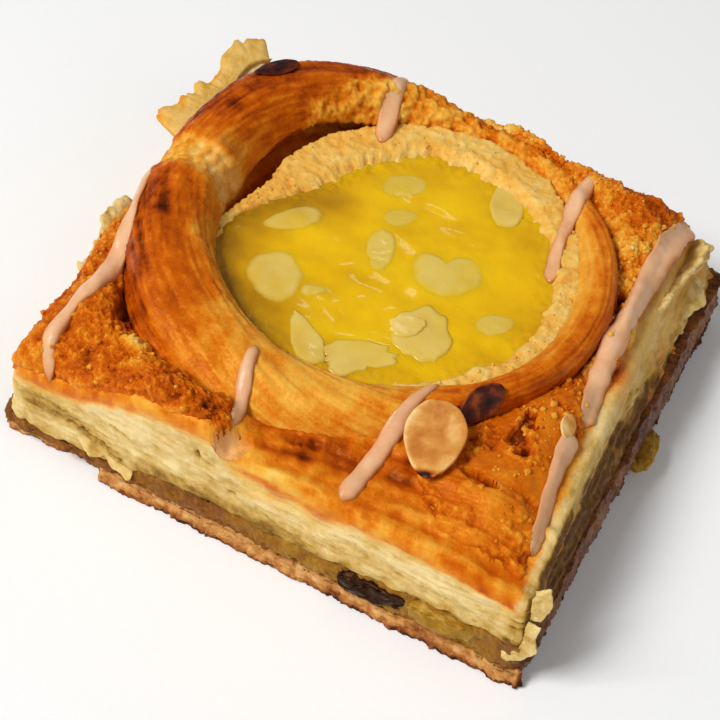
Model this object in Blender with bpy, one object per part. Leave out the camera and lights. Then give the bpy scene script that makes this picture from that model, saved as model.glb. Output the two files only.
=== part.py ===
"""Danish pastry, one square piece cut from a tray bake.

A thin flaky base carries a fruit filling, and a thicker slab of laminated dough lies on that. A rope of
dough is laid round a well of custard, with flaked almonds and streusel over the top.
Metres, +Z up. The origin is the middle of the base's underside.
"""

import math

import bmesh
import bpy
from mathutils import Euler, Vector, noise

MM = 0.001
CLEARANCE = 0.3 * MM
POCKET_CLEARANCE = 0.4 * MM

# Plan corners are listed left front, right front, right back, left back.
WIDTH = 117 * MM
DEPTH = 106 * MM
BASE_THICKNESS = 3.4 * MM
BASE_CORNERS = ((-57.5, -49.5), (55.0, -53.0), (58.5, 51.5), (-58.0, 53.0))
BASE_WANDER = 1.2 * MM

PLAN_CORNER_CUT = 0.05

# The filling is thin on the left and thick where fruit lies in it, at the right: it rises in two steps.
FILLING_THIN = 1.4 * MM
FILLING_MIDDLE = 4.6 * MM
FILLING_THICK = 6.6 * MM
FILLING_FIRST_RISE = (-40 * MM, -14 * MM)
FILLING_SECOND_RISE = (4 * MM, 34 * MM)
FILLING_WANDER = 0.3 * MM
FILLING_EDGE_WANDER = 0.8 * MM
FILLING_CORNERS = ((-56.0, -48.6), (54.0, -51.6), (56.6, 50.4), (-56.6, 51.4))

DOUGH_FOOT_CORNERS = ((-55.0, -49.4), (54.2, -52.2), (55.5, 50.6), (-57.0, 52.0))
DOUGH_RIM_CORNERS = ((-53.2, -48.6), (54.2, -50.6), (48.4, 49.6), (-58.0, 52.0))
DOUGH_CORNER_CUT = 3.0 * MM
DOUGH_WANDER = 0.8 * MM
DOUGH_PLATEAU = 26.0 * MM
DOUGH_UNEVENNESS = 0.4 * MM
LEFT_DROP = 2.5 * MM
LEFT_DROP_REACH = 12 * MM
RIGHT_DROP = 1.5 * MM
RIGHT_DROP_SPAN = (38 * MM, 50 * MM)
# Height of the front rim against X, in millimetres: low at the left, high before the split, level after it
FRONT_RIM = ((-56, 20.0), (-40, 22.5), (-25, 28.0), (-12, 29.6), (-4, 25.6), (12, 24.4), (40, 23.6), (56, 23.8))
FRONT_RIM_REACH = 16 * MM
TORN_CORNER_RISE = 5.0 * MM
TORN_CORNER_REACH = 14 * MM
SPLIT_CENTRE = Vector((-7.0, -50.0, 27.0)) * MM
SPLIT_SIZE = Vector((3.4, 8.0, 7.5)) * MM

WELL_CENTRE = Vector((-3.5, 9.5, 0)) * MM
CUSTARD_RADIUS = 31.8 * MM
CUSTARD_FLOOR = 17.0 * MM
CUSTARD_TOP = 26.4 * MM
CUSTARD_SWELL = 0.7 * MM
CUSTARD_RIPPLE = 0.35 * MM

# Azimuth in degrees, then inner radius, outer radius and crest height of the rope, in millimetres
ROPE_STATIONS = (
    (0, 33.6, 46.2, 32.0),
    (30, 34.2, 45.0, 31.5),
    (60, 34.6, 43.2, 28.8),
    (90, 34.8, 41.8, 29.6),
    (120, 35.8, 47.2, 37.6),
    (150, 36.0, 50.5, 40.0),
    (180, 35.2, 49.5, 38.0),
    (210, 35.2, 51.0, 36.0),
    (240, 35.2, 50.5, 32.4),
    (270, 34.8, 48.5, 29.8),
    (300, 34.2, 48.0, 29.6),
    (330, 33.8, 47.6, 30.8),
)
ROPE_SEAT = 22.6 * MM
ROPE_SEAM = math.radians(172)
ROPE_SEAM_STEP = 1.6 * MM
ROPE_SEAM_FADE = 0.5
ROPE_WAIST = 0.42

# A dark gap that the rope left between itself and the crumb round the custard, by azimuth and radius
HOLLOW_FROM = math.radians(104)
HOLLOW_TO = math.radians(176)
HOLLOW_RADIUS = 33.0 * MM
HOLLOW_HALF_WIDTH = 3.4 * MM
HOLLOW_DEPTH = 8.0 * MM
HOLLOW_RISE = 1.0 * MM
CUSTARD_DENT = 4.6 * MM
WELL_CUTTER_RISE = 20 * MM

# Name, first and last azimuth in degrees, height in millimetres: heaps of streusel in the slab's corners
STREUSEL_HEAPS = (
    ("streusel_back", 8, 84, 5.2),
    ("streusel_left", 190, 262, 4.6),
    ("streusel_front", 300, 345, 3.2),
)
HEAP_EDGE = 2.0 * MM
STREUSEL_LUMP = 9.0 * MM
STREUSEL_RELIEF = 0.14
HEAP_GAP = 0.9 * MM

# Name, centre, length, width, thickness and turn in degrees about X, Y and Z: the flaked almonds
ALMONDS = (
    ("almond_large", (25.5, -32.0, 29.9), (15.6, 11.0, 1.3), (14, -10, 12)),
    ("almond_dark", (29.1, -20.5, 31.7), (10.0, 5.6, 1.0), (18, 30, -20)),
    ("almond_small", (44.6, -16.7, 29.8), (5.6, 3.6, 0.8), (2, 20, 10)),
    ("almond_charred", (-41.2, 32.0, 41.3), (9.8, 5.4, 1.0), (-4, -22, -36)),
    ("almond_custard_left", (-8.0, -17.6, 26.8), (11.5, 5.4, 0.9), (0, 0, 45)),
    ("almond_custard_front", (3.6, -17.9, 27.0), (12.4, 6.6, 0.9), (0, 0, -62)),
    ("almond_custard_middle", (12.2, -8.7, 27.5), (13.8, 11.4, 0.9), (0, 0, 28)),
    ("almond_custard_right", (12.2, 31.0, 27.2), (12.6, 6.6, 0.9), (0, 0, 22)),
)

# Name, centre, size, turn in degrees: the fruit that shows in the filling
FRUIT = (
    ("raisin", (24.0, -49.9, 6.8), (13.0, 5.6, 4.8), (0, 0, 2)),
    ("apple_chunk", (38.0, -49.6, 7.6), (13.2, 6.6, 5.6), (0, 0, 3)),
    ("apple_chunk_side", (55.8, 4.0, 6.4), (5.0, 9.0, 4.4), (0, 0, 4)),
)

COLOURS = {
    "base_crust": ((0.47, 0.24, 0.09), 0.75),
    "filling": ((0.21, 0.09, 0.025), 0.35),
    "dough": ((0.76, 0.56, 0.22), 0.7),
    "dough_ring": ((0.62, 0.24, 0.035), 0.4),
    "custard": ((0.85, 0.62, 0.02), 0.15),
    "streusel": ((0.66, 0.30, 0.06), 0.6),
    "almond": ((0.80, 0.55, 0.22), 0.45),
    "almond_burnt": ((0.14, 0.035, 0.012), 0.5),
    "raisin": ((0.035, 0.02, 0.014), 0.4),
    "apple": ((0.50, 0.34, 0.05), 0.25),
}


def clear_scene():
    for old in list(bpy.data.objects):
        bpy.data.objects.remove(old, do_unlink=True)


def new_collection(name, hidden=False):
    collection = bpy.data.collections.new(name)
    collection.hide_render = hidden
    bpy.context.scene.collection.children.link(collection)
    return collection


def make_material(name):
    colour, roughness = COLOURS[name]
    material = bpy.data.materials.new(name)
    material.use_nodes = True
    shader = material.node_tree.nodes["Principled BSDF"]
    shader.inputs["Base Color"].default_value = (*colour, 1)
    shader.inputs["Roughness"].default_value = roughness
    shader.inputs["Metallic"].default_value = 0
    material.diffuse_color = (*colour, 1)
    return material


def smoothstep(low, high, value):
    share = min(max((value - low) / (high - low), 0.0), 1.0)
    return share * share * (3 - 2 * share)


def along(stations, value):
    """Linear reading of a short list of (position, height) stations."""
    for (start, low), (end, high) in zip(stations, stations[1:]):
        if value <= end:
            share = max(value - start, 0) / (end - start)
            return low + (high - low) * share
    return stations[-1][1]


def around(azimuth, column):
    """Smooth closed curve through one column of the rope's stations, in metres."""
    step = math.tau / len(ROPE_STATIONS)
    place = (azimuth % math.tau) / step
    index = int(place)
    share = place - index
    a, b, c, d = (ROPE_STATIONS[(index + k) % len(ROPE_STATIONS)][column] for k in (-1, 0, 1, 2))
    bend = (a - b) * share * (1 - share) ** 2 / 2 + (d - c) * share * share * (1 - share) / 2
    slope = (c - b) * (share * (1 - share) ** 2 - share * share * (1 - share)) / 2
    blend = share * share * (3 - 2 * share)
    return (b + (c - b) * blend - bend + slope) * MM


def wander(x, y, size, span=22 * MM, seed=0.0):
    """Slow unevenness of about the given size over the given span."""
    return noise.noise(Vector((x / span, y / span, seed))) * 2 * size


def in_corners(corners, u, v):
    """Point of a four-cornered plan shape, for u and v from -1 to 1."""
    left_front, right_front, right_back, left_back = (Vector(corner) * MM for corner in corners)
    front = left_front.lerp(right_front, (u + 1) / 2)
    back = left_back.lerp(right_back, (u + 1) / 2)
    return front.lerp(back, (v + 1) / 2)


def cut_corner(u, v, share):
    """Pull the plan corners of a square from -1 to 1 inwards, as a knife or a thumb rounds them."""
    over = Vector((max(abs(u) - 1 + share, 0), max(abs(v) - 1 + share, 0))) / share
    if over.x > 0 and over.y > 0:
        over *= max(over.x, over.y) / over.length
        u = math.copysign(1 - share + share * over.x, u)
        v = math.copysign(1 - share + share * over.y, v)
    return u, v


def lattice(columns, rows, layers):
    """Cube from -1 to 1, sliced so that its faces form a lattice."""
    cage = bmesh.new()
    bmesh.ops.create_cube(cage, size=2)
    for axis, count in enumerate((columns, rows, layers)):
        for cut in range(1, count):
            place = Vector((0, 0, 0))
            place[axis] = -1 + 2 * cut / count
            normal = Vector((0, 0, 0))
            normal[axis] = 1
            everything = cage.verts[:] + cage.edges[:] + cage.faces[:]
            bmesh.ops.bisect_plane(cage, geom=everything, plane_co=place, plane_no=normal)
    return cage


def ball(segments, rings):
    cage = bmesh.new()
    bmesh.ops.create_uvsphere(cage, u_segments=segments, v_segments=rings, radius=1)
    return cage


def shaped(name, cage, rule, collection, material=None):
    """Object from a cage whose every vertex is moved by a rule."""
    for vertex in cage.verts:
        vertex.co = rule(vertex.co)
    bmesh.ops.recalc_face_normals(cage, faces=cage.faces)
    if cage.calc_volume(signed=True) < 0:
        bmesh.ops.reverse_faces(cage, faces=cage.faces)
    mesh = bpy.data.meshes.new(name)
    cage.to_mesh(mesh)
    cage.free()
    mesh.shade_smooth()
    mesh.set_sharp_from_angle(angle=math.radians(40))
    piece = bpy.data.objects.new(name, mesh)
    collection.objects.link(piece)
    if material:
        mesh.materials.append(material)
    else:
        piece.hide_render = True
        piece.display_type = "WIRE"
    return piece


def cut(piece, cutter):
    modifier = piece.modifiers.new(cutter.name, "BOOLEAN")
    modifier.operation = "DIFFERENCE"
    modifier.solver = "EXACT"
    modifier.object = cutter


# Base and filling -------------------------------------------------------------------------------------

def filling_top(x, y):
    """Upper face of the filling: it swells towards the fruit at the right."""
    thickness = FILLING_THIN + (FILLING_MIDDLE - FILLING_THIN) * smoothstep(*FILLING_FIRST_RISE, x)
    thickness += (FILLING_THICK - FILLING_MIDDLE) * smoothstep(*FILLING_SECOND_RISE, x)
    return BASE_THICKNESS + CLEARANCE + thickness + wander(x, y, FILLING_WANDER, seed=2.0)


def build_base(parts, material):
    def rule(co):
        u, v = cut_corner(co.x, co.y, PLAN_CORNER_CUT)
        plan = in_corners(BASE_CORNERS, u, v)
        edge = max(abs(co.x), abs(co.y)) ** 6
        ragged = wander(plan.x, plan.y, BASE_WANDER, span=9 * MM, seed=5.0) * edge
        outwards = plan.normalized() * ragged
        z = BASE_THICKNESS if co.z > 0 else 0.0
        return Vector((plan.x + outwards.x, plan.y + outwards.y, z))

    base = shaped("base_crust", lattice(16, 12, 1), rule, parts, material)
    fit_plan(base.data)


def fit_plan(mesh):
    """Stretch the base a little so that it measures exactly WIDTH by DEPTH, centred on the origin."""
    for axis, size in ((0, WIDTH), (1, DEPTH)):
        low = min(vertex.co[axis] for vertex in mesh.vertices)
        high = max(vertex.co[axis] for vertex in mesh.vertices)
        for vertex in mesh.vertices:
            vertex.co[axis] = ((vertex.co[axis] - low) / (high - low) - 0.5) * size


def build_filling(parts, material):
    def rule(co):
        u, v = cut_corner(co.x, co.y, PLAN_CORNER_CUT)
        plan = in_corners(FILLING_CORNERS, u, v)
        edge = max(abs(co.x), abs(co.y)) ** 6
        ragged = wander(plan.x, plan.y, FILLING_EDGE_WANDER, span=7 * MM, seed=8.0) * edge
        outwards = plan.normalized() * ragged
        top = filling_top(plan.x, plan.y)
        z = top if co.z > 0 else BASE_THICKNESS + CLEARANCE
        return Vector((plan.x + outwards.x, plan.y + outwards.y, z))

    return shaped("filling", lattice(14, 10, 1), rule, parts, material)


def lump_rule(centre, size, turn, grow=0.0, corners=0.62):
    """Rule that turns a unit ball into a blunt lump, a little uneven."""
    middle = Vector(centre) * MM
    half = Vector(size) * MM / 2
    rotation = Euler([math.radians(angle) for angle in turn]).to_matrix()

    def rule(co):
        blunt = Vector([math.copysign(abs(part) ** corners, part) for part in co])
        uneven = 1 + 0.10 * noise.noise(co * 1.7 + middle * 300)
        reach = Vector([part * (side * uneven + grow) for part, side in zip(blunt, half)])
        return middle + rotation @ reach

    return rule


def build_fruit(parts, cutters, materials, hosts):
    for name, centre, size, turn in FRUIT:
        material = materials["raisin" if name == "raisin" else "apple"]
        shaped(name, ball(14, 8), lump_rule(centre, size, turn), parts, material)
        pocket_rule = lump_rule(centre, size, turn, grow=POCKET_CLEARANCE)
        pocket = shaped(f"{name}_pocket", ball(14, 8), pocket_rule, cutters)
        for host in hosts:
            cut(host, pocket)


# Dough slab -------------------------------------------------------------------------------------------

def dough_top(x, y):
    """Upper face of the slab before the rope's bed, the well and the heaps are cut into it."""
    front = 1 - smoothstep(0, FRONT_RIM_REACH, y - DOUGH_RIM_CORNERS[0][1] * MM)
    rim = along(FRONT_RIM, x / MM) * MM
    height = DOUGH_PLATEAU + (rim - DOUGH_PLATEAU) * front
    left = 1 - smoothstep(0, LEFT_DROP_REACH, x - DOUGH_RIM_CORNERS[0][0] * MM)
    height -= LEFT_DROP * left * (1 - front)
    height -= RIGHT_DROP * smoothstep(*RIGHT_DROP_SPAN, x)
    corner = Vector(DOUGH_RIM_CORNERS[3]) * MM
    distance = (Vector((x, y)) - corner).length
    height += TORN_CORNER_RISE * (1 - smoothstep(0, TORN_CORNER_REACH, distance))
    return height + wander(x, y, DOUGH_UNEVENNESS, span=14 * MM, seed=11.0)


def build_dough(parts, material):
    def rule(co):
        share = (co.z + 1) / 2
        u, v = cut_corner(co.x, co.y, DOUGH_CORNER_CUT * 2 / DEPTH)
        foot = in_corners(DOUGH_FOOT_CORNERS, u, v)
        rim = in_corners(DOUGH_RIM_CORNERS, u, v)
        plan = foot.lerp(rim, share)
        edge = max(abs(co.x), abs(co.y)) ** 8
        level = noise.noise(Vector((plan.x / (9 * MM), plan.y / (9 * MM), share * 3)))
        plan += plan.normalized() * level * 2 * DOUGH_WANDER * edge
        low = filling_top(plan.x, plan.y) + CLEARANCE
        high = dough_top(plan.x, plan.y)
        return Vector((plan.x, plan.y, low + (high - low) * share))

    return shaped("dough", lattice(18, 16, 3), rule, parts, material)


# Rope of dough round the well -------------------------------------------------------------------------

def rope_rule(grow=0.0):
    """Rule that turns a torus of radii 2 and 1 into the rope: high at the left, low at the front right."""
    def rule(co):
        azimuth = math.atan2(co.y, co.x)
        turn = math.atan2(co.z, math.hypot(co.x, co.y) - 2)
        inner = around(azimuth, 1) - grow
        outer = around(azimuth, 2) + grow
        past_seam = (azimuth - ROPE_SEAM) % math.tau
        step = ROPE_SEAM_STEP * (math.exp(-past_seam / ROPE_SEAM_FADE) - 0.3)
        crest = around(azimuth, 3) - step + grow
        seat = ROPE_SEAT - grow
        across = math.copysign(abs(math.cos(turn)) ** 0.75, math.cos(turn))
        radius = (inner + outer) / 2 + across * (outer - inner) / 2
        lift = math.sin(turn)
        middle = seat + (crest - seat) * ROPE_WAIST
        if lift > 0:
            z = middle + (crest - middle) * lift ** 0.9
        else:
            z = middle + (middle - seat) * max(lift * 1.25, -1)
        return WELL_CENTRE + Vector((math.cos(azimuth) * radius, math.sin(azimuth) * radius, z))

    return rule


def torus(major_segments, minor_segments):
    bpy.ops.mesh.primitive_torus_add(
        major_segments=major_segments, minor_segments=minor_segments, major_radius=2, minor_radius=1
    )
    source = bpy.context.object
    cage = bmesh.new()
    cage.from_mesh(source.data)
    bpy.data.objects.remove(source, do_unlink=True)
    return cage


def build_rope(parts, cutters, material, dough):
    shaped("dough_ring", torus(40, 12), rope_rule(), parts, material)
    bed = shaped("ring_bed", torus(40, 12), rope_rule(grow=CLEARANCE), cutters)
    cut(dough, bed)


# Custard well -----------------------------------------------------------------------------------------

def custard_radius(azimuth):
    """Radius of the custard: round, but dented where the rope left a hollow beside it."""
    middle = (HOLLOW_FROM + HOLLOW_TO) / 2
    away = abs((azimuth - middle + math.pi) % math.tau - math.pi)
    dent = CUSTARD_DENT * (1 - smoothstep(0, HOLLOW_TO - middle + 0.2, away))
    return CUSTARD_RADIUS - dent + 0.5 * MM * math.sin(5 * azimuth + 1)


def custard_height(share, azimuth):
    ripple = CUSTARD_RIPPLE * math.sin(3 * azimuth + 5 * share) * share
    return CUSTARD_TOP + CUSTARD_SWELL * (1 - share * share) + ripple


def custard_rule(grow=0.0, top=None):
    """Rule that presses a unit ball into the pool of custard, or into its cutter when top is given."""
    def rule(co):
        azimuth = math.atan2(co.y, co.x)
        share = min(math.hypot(co.x, co.y), 1.0)
        radius = (custard_radius(azimuth) + grow) * share ** 0.8
        upper = top if top else custard_height(share, azimuth)
        middle = (CUSTARD_TOP + CUSTARD_FLOOR) / 2
        end = upper if co.z > 0 else CUSTARD_FLOOR - grow
        z = middle + (end - middle) * abs(co.z) ** 0.28
        return WELL_CENTRE + Vector((math.cos(azimuth) * radius, math.sin(azimuth) * radius, z))

    return rule


def build_custard(parts, cutters, material, dough):
    shaped("custard", ball(32, 10), custard_rule(), parts, material)
    well = shaped("well", ball(32, 10), custard_rule(CLEARANCE, DOUGH_PLATEAU + WELL_CUTTER_RISE), cutters)
    cut(dough, well)


def build_hollow(cutters, dough):
    """Cut the deep gap along the inside of the rope: a ball drawn out along an arc."""
    def rule(co):
        azimuth = (HOLLOW_FROM + HOLLOW_TO) / 2 + co.y * (HOLLOW_TO - HOLLOW_FROM) / 2
        radius = HOLLOW_RADIUS + co.x * HOLLOW_HALF_WIDTH
        z = DOUGH_PLATEAU + HOLLOW_RISE + co.z * HOLLOW_DEPTH
        return WELL_CENTRE + Vector((math.cos(azimuth) * radius, math.sin(azimuth) * radius, z))

    cut(dough, shaped("hollow", ball(12, 8), rule, cutters))


def build_split(cutters, dough):
    """Cut the split where the front rim opened in the oven."""
    def rule(co):
        return SPLIT_CENTRE + Vector([part * side for part, side in zip(co, SPLIT_SIZE)])

    cut(dough, shaped("split", ball(12, 8), rule, cutters))


# Toppings ---------------------------------------------------------------------------------------------

def rim_reach(azimuth):
    """Distance from the middle of the well to the slab's rim, in one direction."""
    left_front, right_front, right_back, left_back = DOUGH_RIM_CORNERS
    if math.cos(azimuth) < 0:
        far_x = max(left_front[0], left_back[0])
    else:
        far_x = min(right_front[0], right_back[0])
    if math.sin(azimuth) < 0:
        far_y = max(left_front[1], right_front[1])
    else:
        far_y = min(right_back[1], left_back[1])
    reach_x = (far_x * MM - WELL_CENTRE.x) / math.cos(azimuth)
    reach_y = (far_y * MM - WELL_CENTRE.y) / math.sin(azimuth)
    return min(reach_x, reach_y)


def heap_rule(first, last, height):
    """Rule that turns a unit ball into a heap that lies in a corner, between the rope and the slab's rim."""
    middle = math.radians((first + last) / 2)
    half = math.radians((last - first) / 2)

    def rule(co):
        azimuth = middle + co.y * half
        near = around(azimuth, 2) + HEAP_GAP
        far = rim_reach(azimuth) - HEAP_EDGE
        radius = near + (far - near) * (co.x + 1) / 2
        plan = WELL_CENTRE + Vector((math.cos(azimuth) * radius, math.sin(azimuth) * radius, 0))
        lumpy = 1 + STREUSEL_RELIEF * 2 * noise.noise(plan / STREUSEL_LUMP)
        seat = dough_top(plan.x, plan.y) + HEAP_GAP
        return Vector((plan.x, plan.y, seat + height * MM * lumpy * max(co.z, 0) ** 0.7))

    return rule


def build_streusel(parts, material):
    for name, *sizes in STREUSEL_HEAPS:
        shaped(name, ball(24, 10), heap_rule(*sizes), parts, material)


def almond_rule(centre, size, turn):
    """Rule for one flaked almond: an oval slice, pointed at one end and slightly cupped."""
    middle = Vector(centre) * MM
    length, width, thickness = (side * MM for side in size)
    rotation = Euler([math.radians(angle) for angle in turn]).to_matrix()

    def rule(co):
        taper = 1 - 0.22 * co.y - 0.12 * co.y * co.y
        cup = 0.10 * width * (co.x * co.x + co.y * co.y)
        thin = math.copysign(abs(co.z) ** 0.5, co.z) * thickness / 2
        reach = Vector((co.x * taper * width / 2, co.y * length / 2, thin + cup))
        return middle + rotation @ reach

    return rule


def build_almonds(parts, materials):
    for name, centre, size, turn in ALMONDS:
        burnt = name in ("almond_dark", "almond_charred")
        material = materials["almond_burnt" if burnt else "almond"]
        shaped(name, ball(14, 6), almond_rule(centre, size, turn), parts, material)


def main():
    clear_scene()
    parts = new_collection("danish_pastry")
    cutters = new_collection("cutters", hidden=True)
    materials = {name: make_material(name) for name in COLOURS}
    build_base(parts, materials["base_crust"])
    filling = build_filling(parts, materials["filling"])
    dough = build_dough(parts, materials["dough"])
    build_rope(parts, cutters, materials["dough_ring"], dough)
    build_custard(parts, cutters, materials["custard"], dough)
    build_hollow(cutters, dough)
    build_split(cutters, dough)
    build_streusel(parts, materials["streusel"])
    build_fruit(parts, cutters, materials, (filling, dough))
    build_almonds(parts, materials)


main()
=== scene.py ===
"""Looks of a square danish pastry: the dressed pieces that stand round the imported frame.

A thin baked base carries a fruit filling and a slab of laminated dough. A rope of dough lies round a pool
of custard, with streusel, flaked almonds and threads of icing over the top. Lengths are in millimetres
here and become metres when a mesh is made. The origin is the middle of the base's underside, +X runs
along the front side and +Z is up. Azimuths are measured round the middle of the custard.
"""

import logging
import math
from dataclasses import dataclass, field
from enum import Enum
from functools import reduce

import bmesh
import bpy
import numpy as np
from mathutils import Euler, Matrix, Vector
from mathutils.bvhtree import BVHTree


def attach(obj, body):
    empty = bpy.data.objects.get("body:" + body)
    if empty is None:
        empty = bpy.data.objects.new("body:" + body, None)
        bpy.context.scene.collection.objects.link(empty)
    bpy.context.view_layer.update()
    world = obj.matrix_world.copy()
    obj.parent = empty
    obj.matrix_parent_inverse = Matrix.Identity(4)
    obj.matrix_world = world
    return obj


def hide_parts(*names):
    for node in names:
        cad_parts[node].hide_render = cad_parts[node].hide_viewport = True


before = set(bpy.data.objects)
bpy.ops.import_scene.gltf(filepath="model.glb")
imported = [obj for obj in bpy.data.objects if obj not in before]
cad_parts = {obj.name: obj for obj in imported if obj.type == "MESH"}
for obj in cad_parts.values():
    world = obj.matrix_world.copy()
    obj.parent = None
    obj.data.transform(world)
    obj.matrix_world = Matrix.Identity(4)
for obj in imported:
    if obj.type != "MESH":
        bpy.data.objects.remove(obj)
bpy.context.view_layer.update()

MM = 0.001
BODY = "root"
WELL = np.array([-3.5, 9.5])
CUSTARD_LEVEL = 26.8

Array = np.ndarray
Triple = tuple[float, float, float]
Stations = tuple[tuple[float, ...], ...]
log = logging.getLogger("danish_pastry")


# Curves and unevenness

TABLE_SIZE = 4096
_draws = np.random.default_rng(20).random((TABLE_SIZE, 3))
SPOTS = _draws
SLOPES = (_draws[::-1] - 0.5) / np.linalg.norm(_draws[::-1] - 0.5, axis=1, keepdims=True)
CORNERS = np.array([[i, j, k] for i in (0, 1) for j in (0, 1) for k in (0, 1)])
NEIGHBOURS = np.array([[i, j, k] for i in (-1, 0, 1) for j in (-1, 0, 1) for k in (-1, 0, 1)])


def ease(low: float | Array, high: float | Array, value: float | Array) -> Array:
    """Ease from 0 at low to 1 at high.

    Args:
        low: Where the step starts; it may be above high, and the step then falls.
        high: Where the step ends.
        value: The values to ease.

    Returns:
        The eased share of each value.
    """
    share = np.clip((np.asarray(value, float) - low) / (np.asarray(high, float) - low), 0.0, 1.0)
    return share * share * (3 - 2 * share)


def hill(value: float | Array, centre: float, reach: float) -> Array:
    """Bell curve of height 1 at the centre, which fades over reach."""
    return np.exp(-(((np.asarray(value, float) - centre) / reach) ** 2))


def around(stations: Stations, azimuth: Array, column: int) -> Array:
    """Read a smooth closed curve through one column of stations.

    Args:
        stations: Rows that start with an azimuth in degrees, in rising order.
        azimuth: Azimuths in radians.
        column: Which column to read.

    Returns:
        The column's value at each azimuth.
    """
    table = np.array(stations, float)
    places = np.concatenate([table[-2:, 0] - 360, table[:, 0], table[:2, 0] + 360])
    values = np.concatenate([table[-2:, column], table[:, column], table[:2, column]])
    slopes = np.gradient(values, places)
    angle = np.degrees(azimuth) % 360
    index = np.clip(np.searchsorted(places, angle, side="right") - 1, 0, len(places) - 2)
    gap = places[index + 1] - places[index]
    s = (angle - places[index]) / gap
    low = values[index] * (2 * s**3 - 3 * s**2 + 1) + slopes[index] * gap * (s**3 - 2 * s**2 + s)
    high = values[index + 1] * (3 * s**2 - 2 * s**3) + slopes[index + 1] * gap * (s**3 - s**2)
    return low + high


def rows_of(*coordinates: Array) -> Array:
    """Points in rows, from their coordinates in arrays of any one shape."""
    return np.stack(np.broadcast_arrays(*coordinates), axis=-1).reshape(-1, len(coordinates))


def flat(x: Array, y: Array) -> Array:
    """Plan points as points at height 0, in the shape that they come in."""
    return np.stack([x, y, np.zeros_like(x)], axis=-1)


def from_well(azimuth: Array, radius: Array) -> tuple[Array, Array]:
    """Plan points at an azimuth and a distance from the middle of the custard."""
    return WELL[0] + np.cos(azimuth) * radius, WELL[1] + np.sin(azimuth) * radius


def polar(x: Array, y: Array) -> tuple[Array, Array]:
    """Azimuth and distance of plan points from the middle of the custard."""
    return np.arctan2(y - WELL[1], x - WELL[0]), np.hypot(x - WELL[0], y - WELL[1])


def smooth_path(stations: Stations, step: float, axes: int = 2) -> Array:
    """Run a smooth curve through stations and read it at even steps.

    Args:
        stations: Rows whose first columns are a place; every column is carried along.
        step: Distance between the points that are read, in millimetres.
        axes: How many of the first columns are the place.

    Returns:
        One row for each point.
    """
    table = np.array(stations, float)
    gaps = np.linalg.norm(np.diff(table[:, :axes], axis=0), axis=1)
    places = np.concatenate([[0], np.cumsum(gaps)])
    slopes = np.gradient(table, places, axis=0)
    wanted = np.linspace(0, places[-1], max(int(places[-1] / step), 8))
    index = np.clip(np.searchsorted(places, wanted, side="right") - 1, 0, len(places) - 2)
    gap = (places[index + 1] - places[index])[:, None]
    s = (wanted - places[index])[:, None] / gap
    low = table[index] * (2 * s**3 - 3 * s**2 + 1) + slopes[index] * gap * (s**3 - 2 * s**2 + s)
    return low + table[index + 1] * (3 * s**2 - 2 * s**3) + slopes[index + 1] * gap * (s**3 - s**2)


def draw_index(cell: Array, seed: int) -> Array:
    """Place in the table of draws for each whole-number cell."""
    mixed = (cell[..., 0] * 73856093) ^ (cell[..., 1] * 19349663) ^ (cell[..., 2] * 83492791) ^ (seed * 7919)
    return (mixed ^ (mixed >> 11)) & (TABLE_SIZE - 1)


def swell(points: Array, span: float | tuple[float, ...], seed: int = 0) -> Array:
    """Smooth unevenness.

    Args:
        points: Points in millimetres.
        span: Size of one swell, or one size for each axis.
        seed: Which draw to use.

    Returns:
        A value from about -1 to 1 for each point.
    """
    place = points / np.asarray(span, float)
    base = np.floor(place).astype(np.int64)
    local = place - base
    fade = local**3 * (local * (local * 6 - 15) + 10)
    total = np.zeros(len(points))
    for corner in CORNERS:
        slope = SLOPES[draw_index(base + corner, seed)]
        weight = np.prod(np.where(corner, fade, 1 - fade), axis=-1)
        total += weight * np.sum(slope * (local - corner), axis=-1)
    return total * 1.7


def layered(points: Array, span: float | tuple[float, ...], seed: int = 0, layers: int = 4) -> Array:
    """Unevenness with finer unevenness on it, each layer half as large as the last.

    Args:
        points: Points in millimetres.
        span: Size of the broadest swells, or one size for each axis.
        seed: Which draw to use.
        layers: How many layers.

    Returns:
        About -1 to 1 at each point.
    """
    sizes = np.asarray(span, float)
    parts = [swell(points, sizes / 2**n, seed + n) / 2**n for n in range(layers)]
    return np.sum(parts, axis=0)


def lumps(points: Array, span: float | tuple[float, ...], seed: int = 0) -> tuple[Array, Array, Array]:
    """Divide space into lumps.

    Args:
        points: Points in millimetres.
        span: Size of one lump, or one size for each axis.
        seed: Which draw to use.

    Returns:
        Distance to the nearest lump's centre and to the second nearest, in spans, and a draw for the lump.
    """
    place = points / np.asarray(span, float)
    base = np.floor(place).astype(np.int64)
    nearest = np.full(len(points), 9.0)
    second = np.full(len(points), 9.0)
    own = np.zeros(len(points), np.int64)
    for offset in NEIGHBOURS:
        cell = base + offset
        index = draw_index(cell, seed)
        distance = np.linalg.norm(place - cell - SPOTS[index], axis=-1)
        closer = distance < nearest
        second = np.where(closer, nearest, np.minimum(second, distance))
        own = np.where(closer, index, own)
        nearest = np.minimum(nearest, distance)
    return nearest, second, SPOTS[own, 0]


def pebbled(points: Array, span: float, seed: int = 0) -> Array:
    """Relief of packed crumbs, from 0 in the gaps to about 1 on top of a crumb."""
    nearest, second, _ = lumps(points, span, seed)
    return ease(0.0, 0.55, second - nearest) * (1 - 0.45 * nearest)


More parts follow.
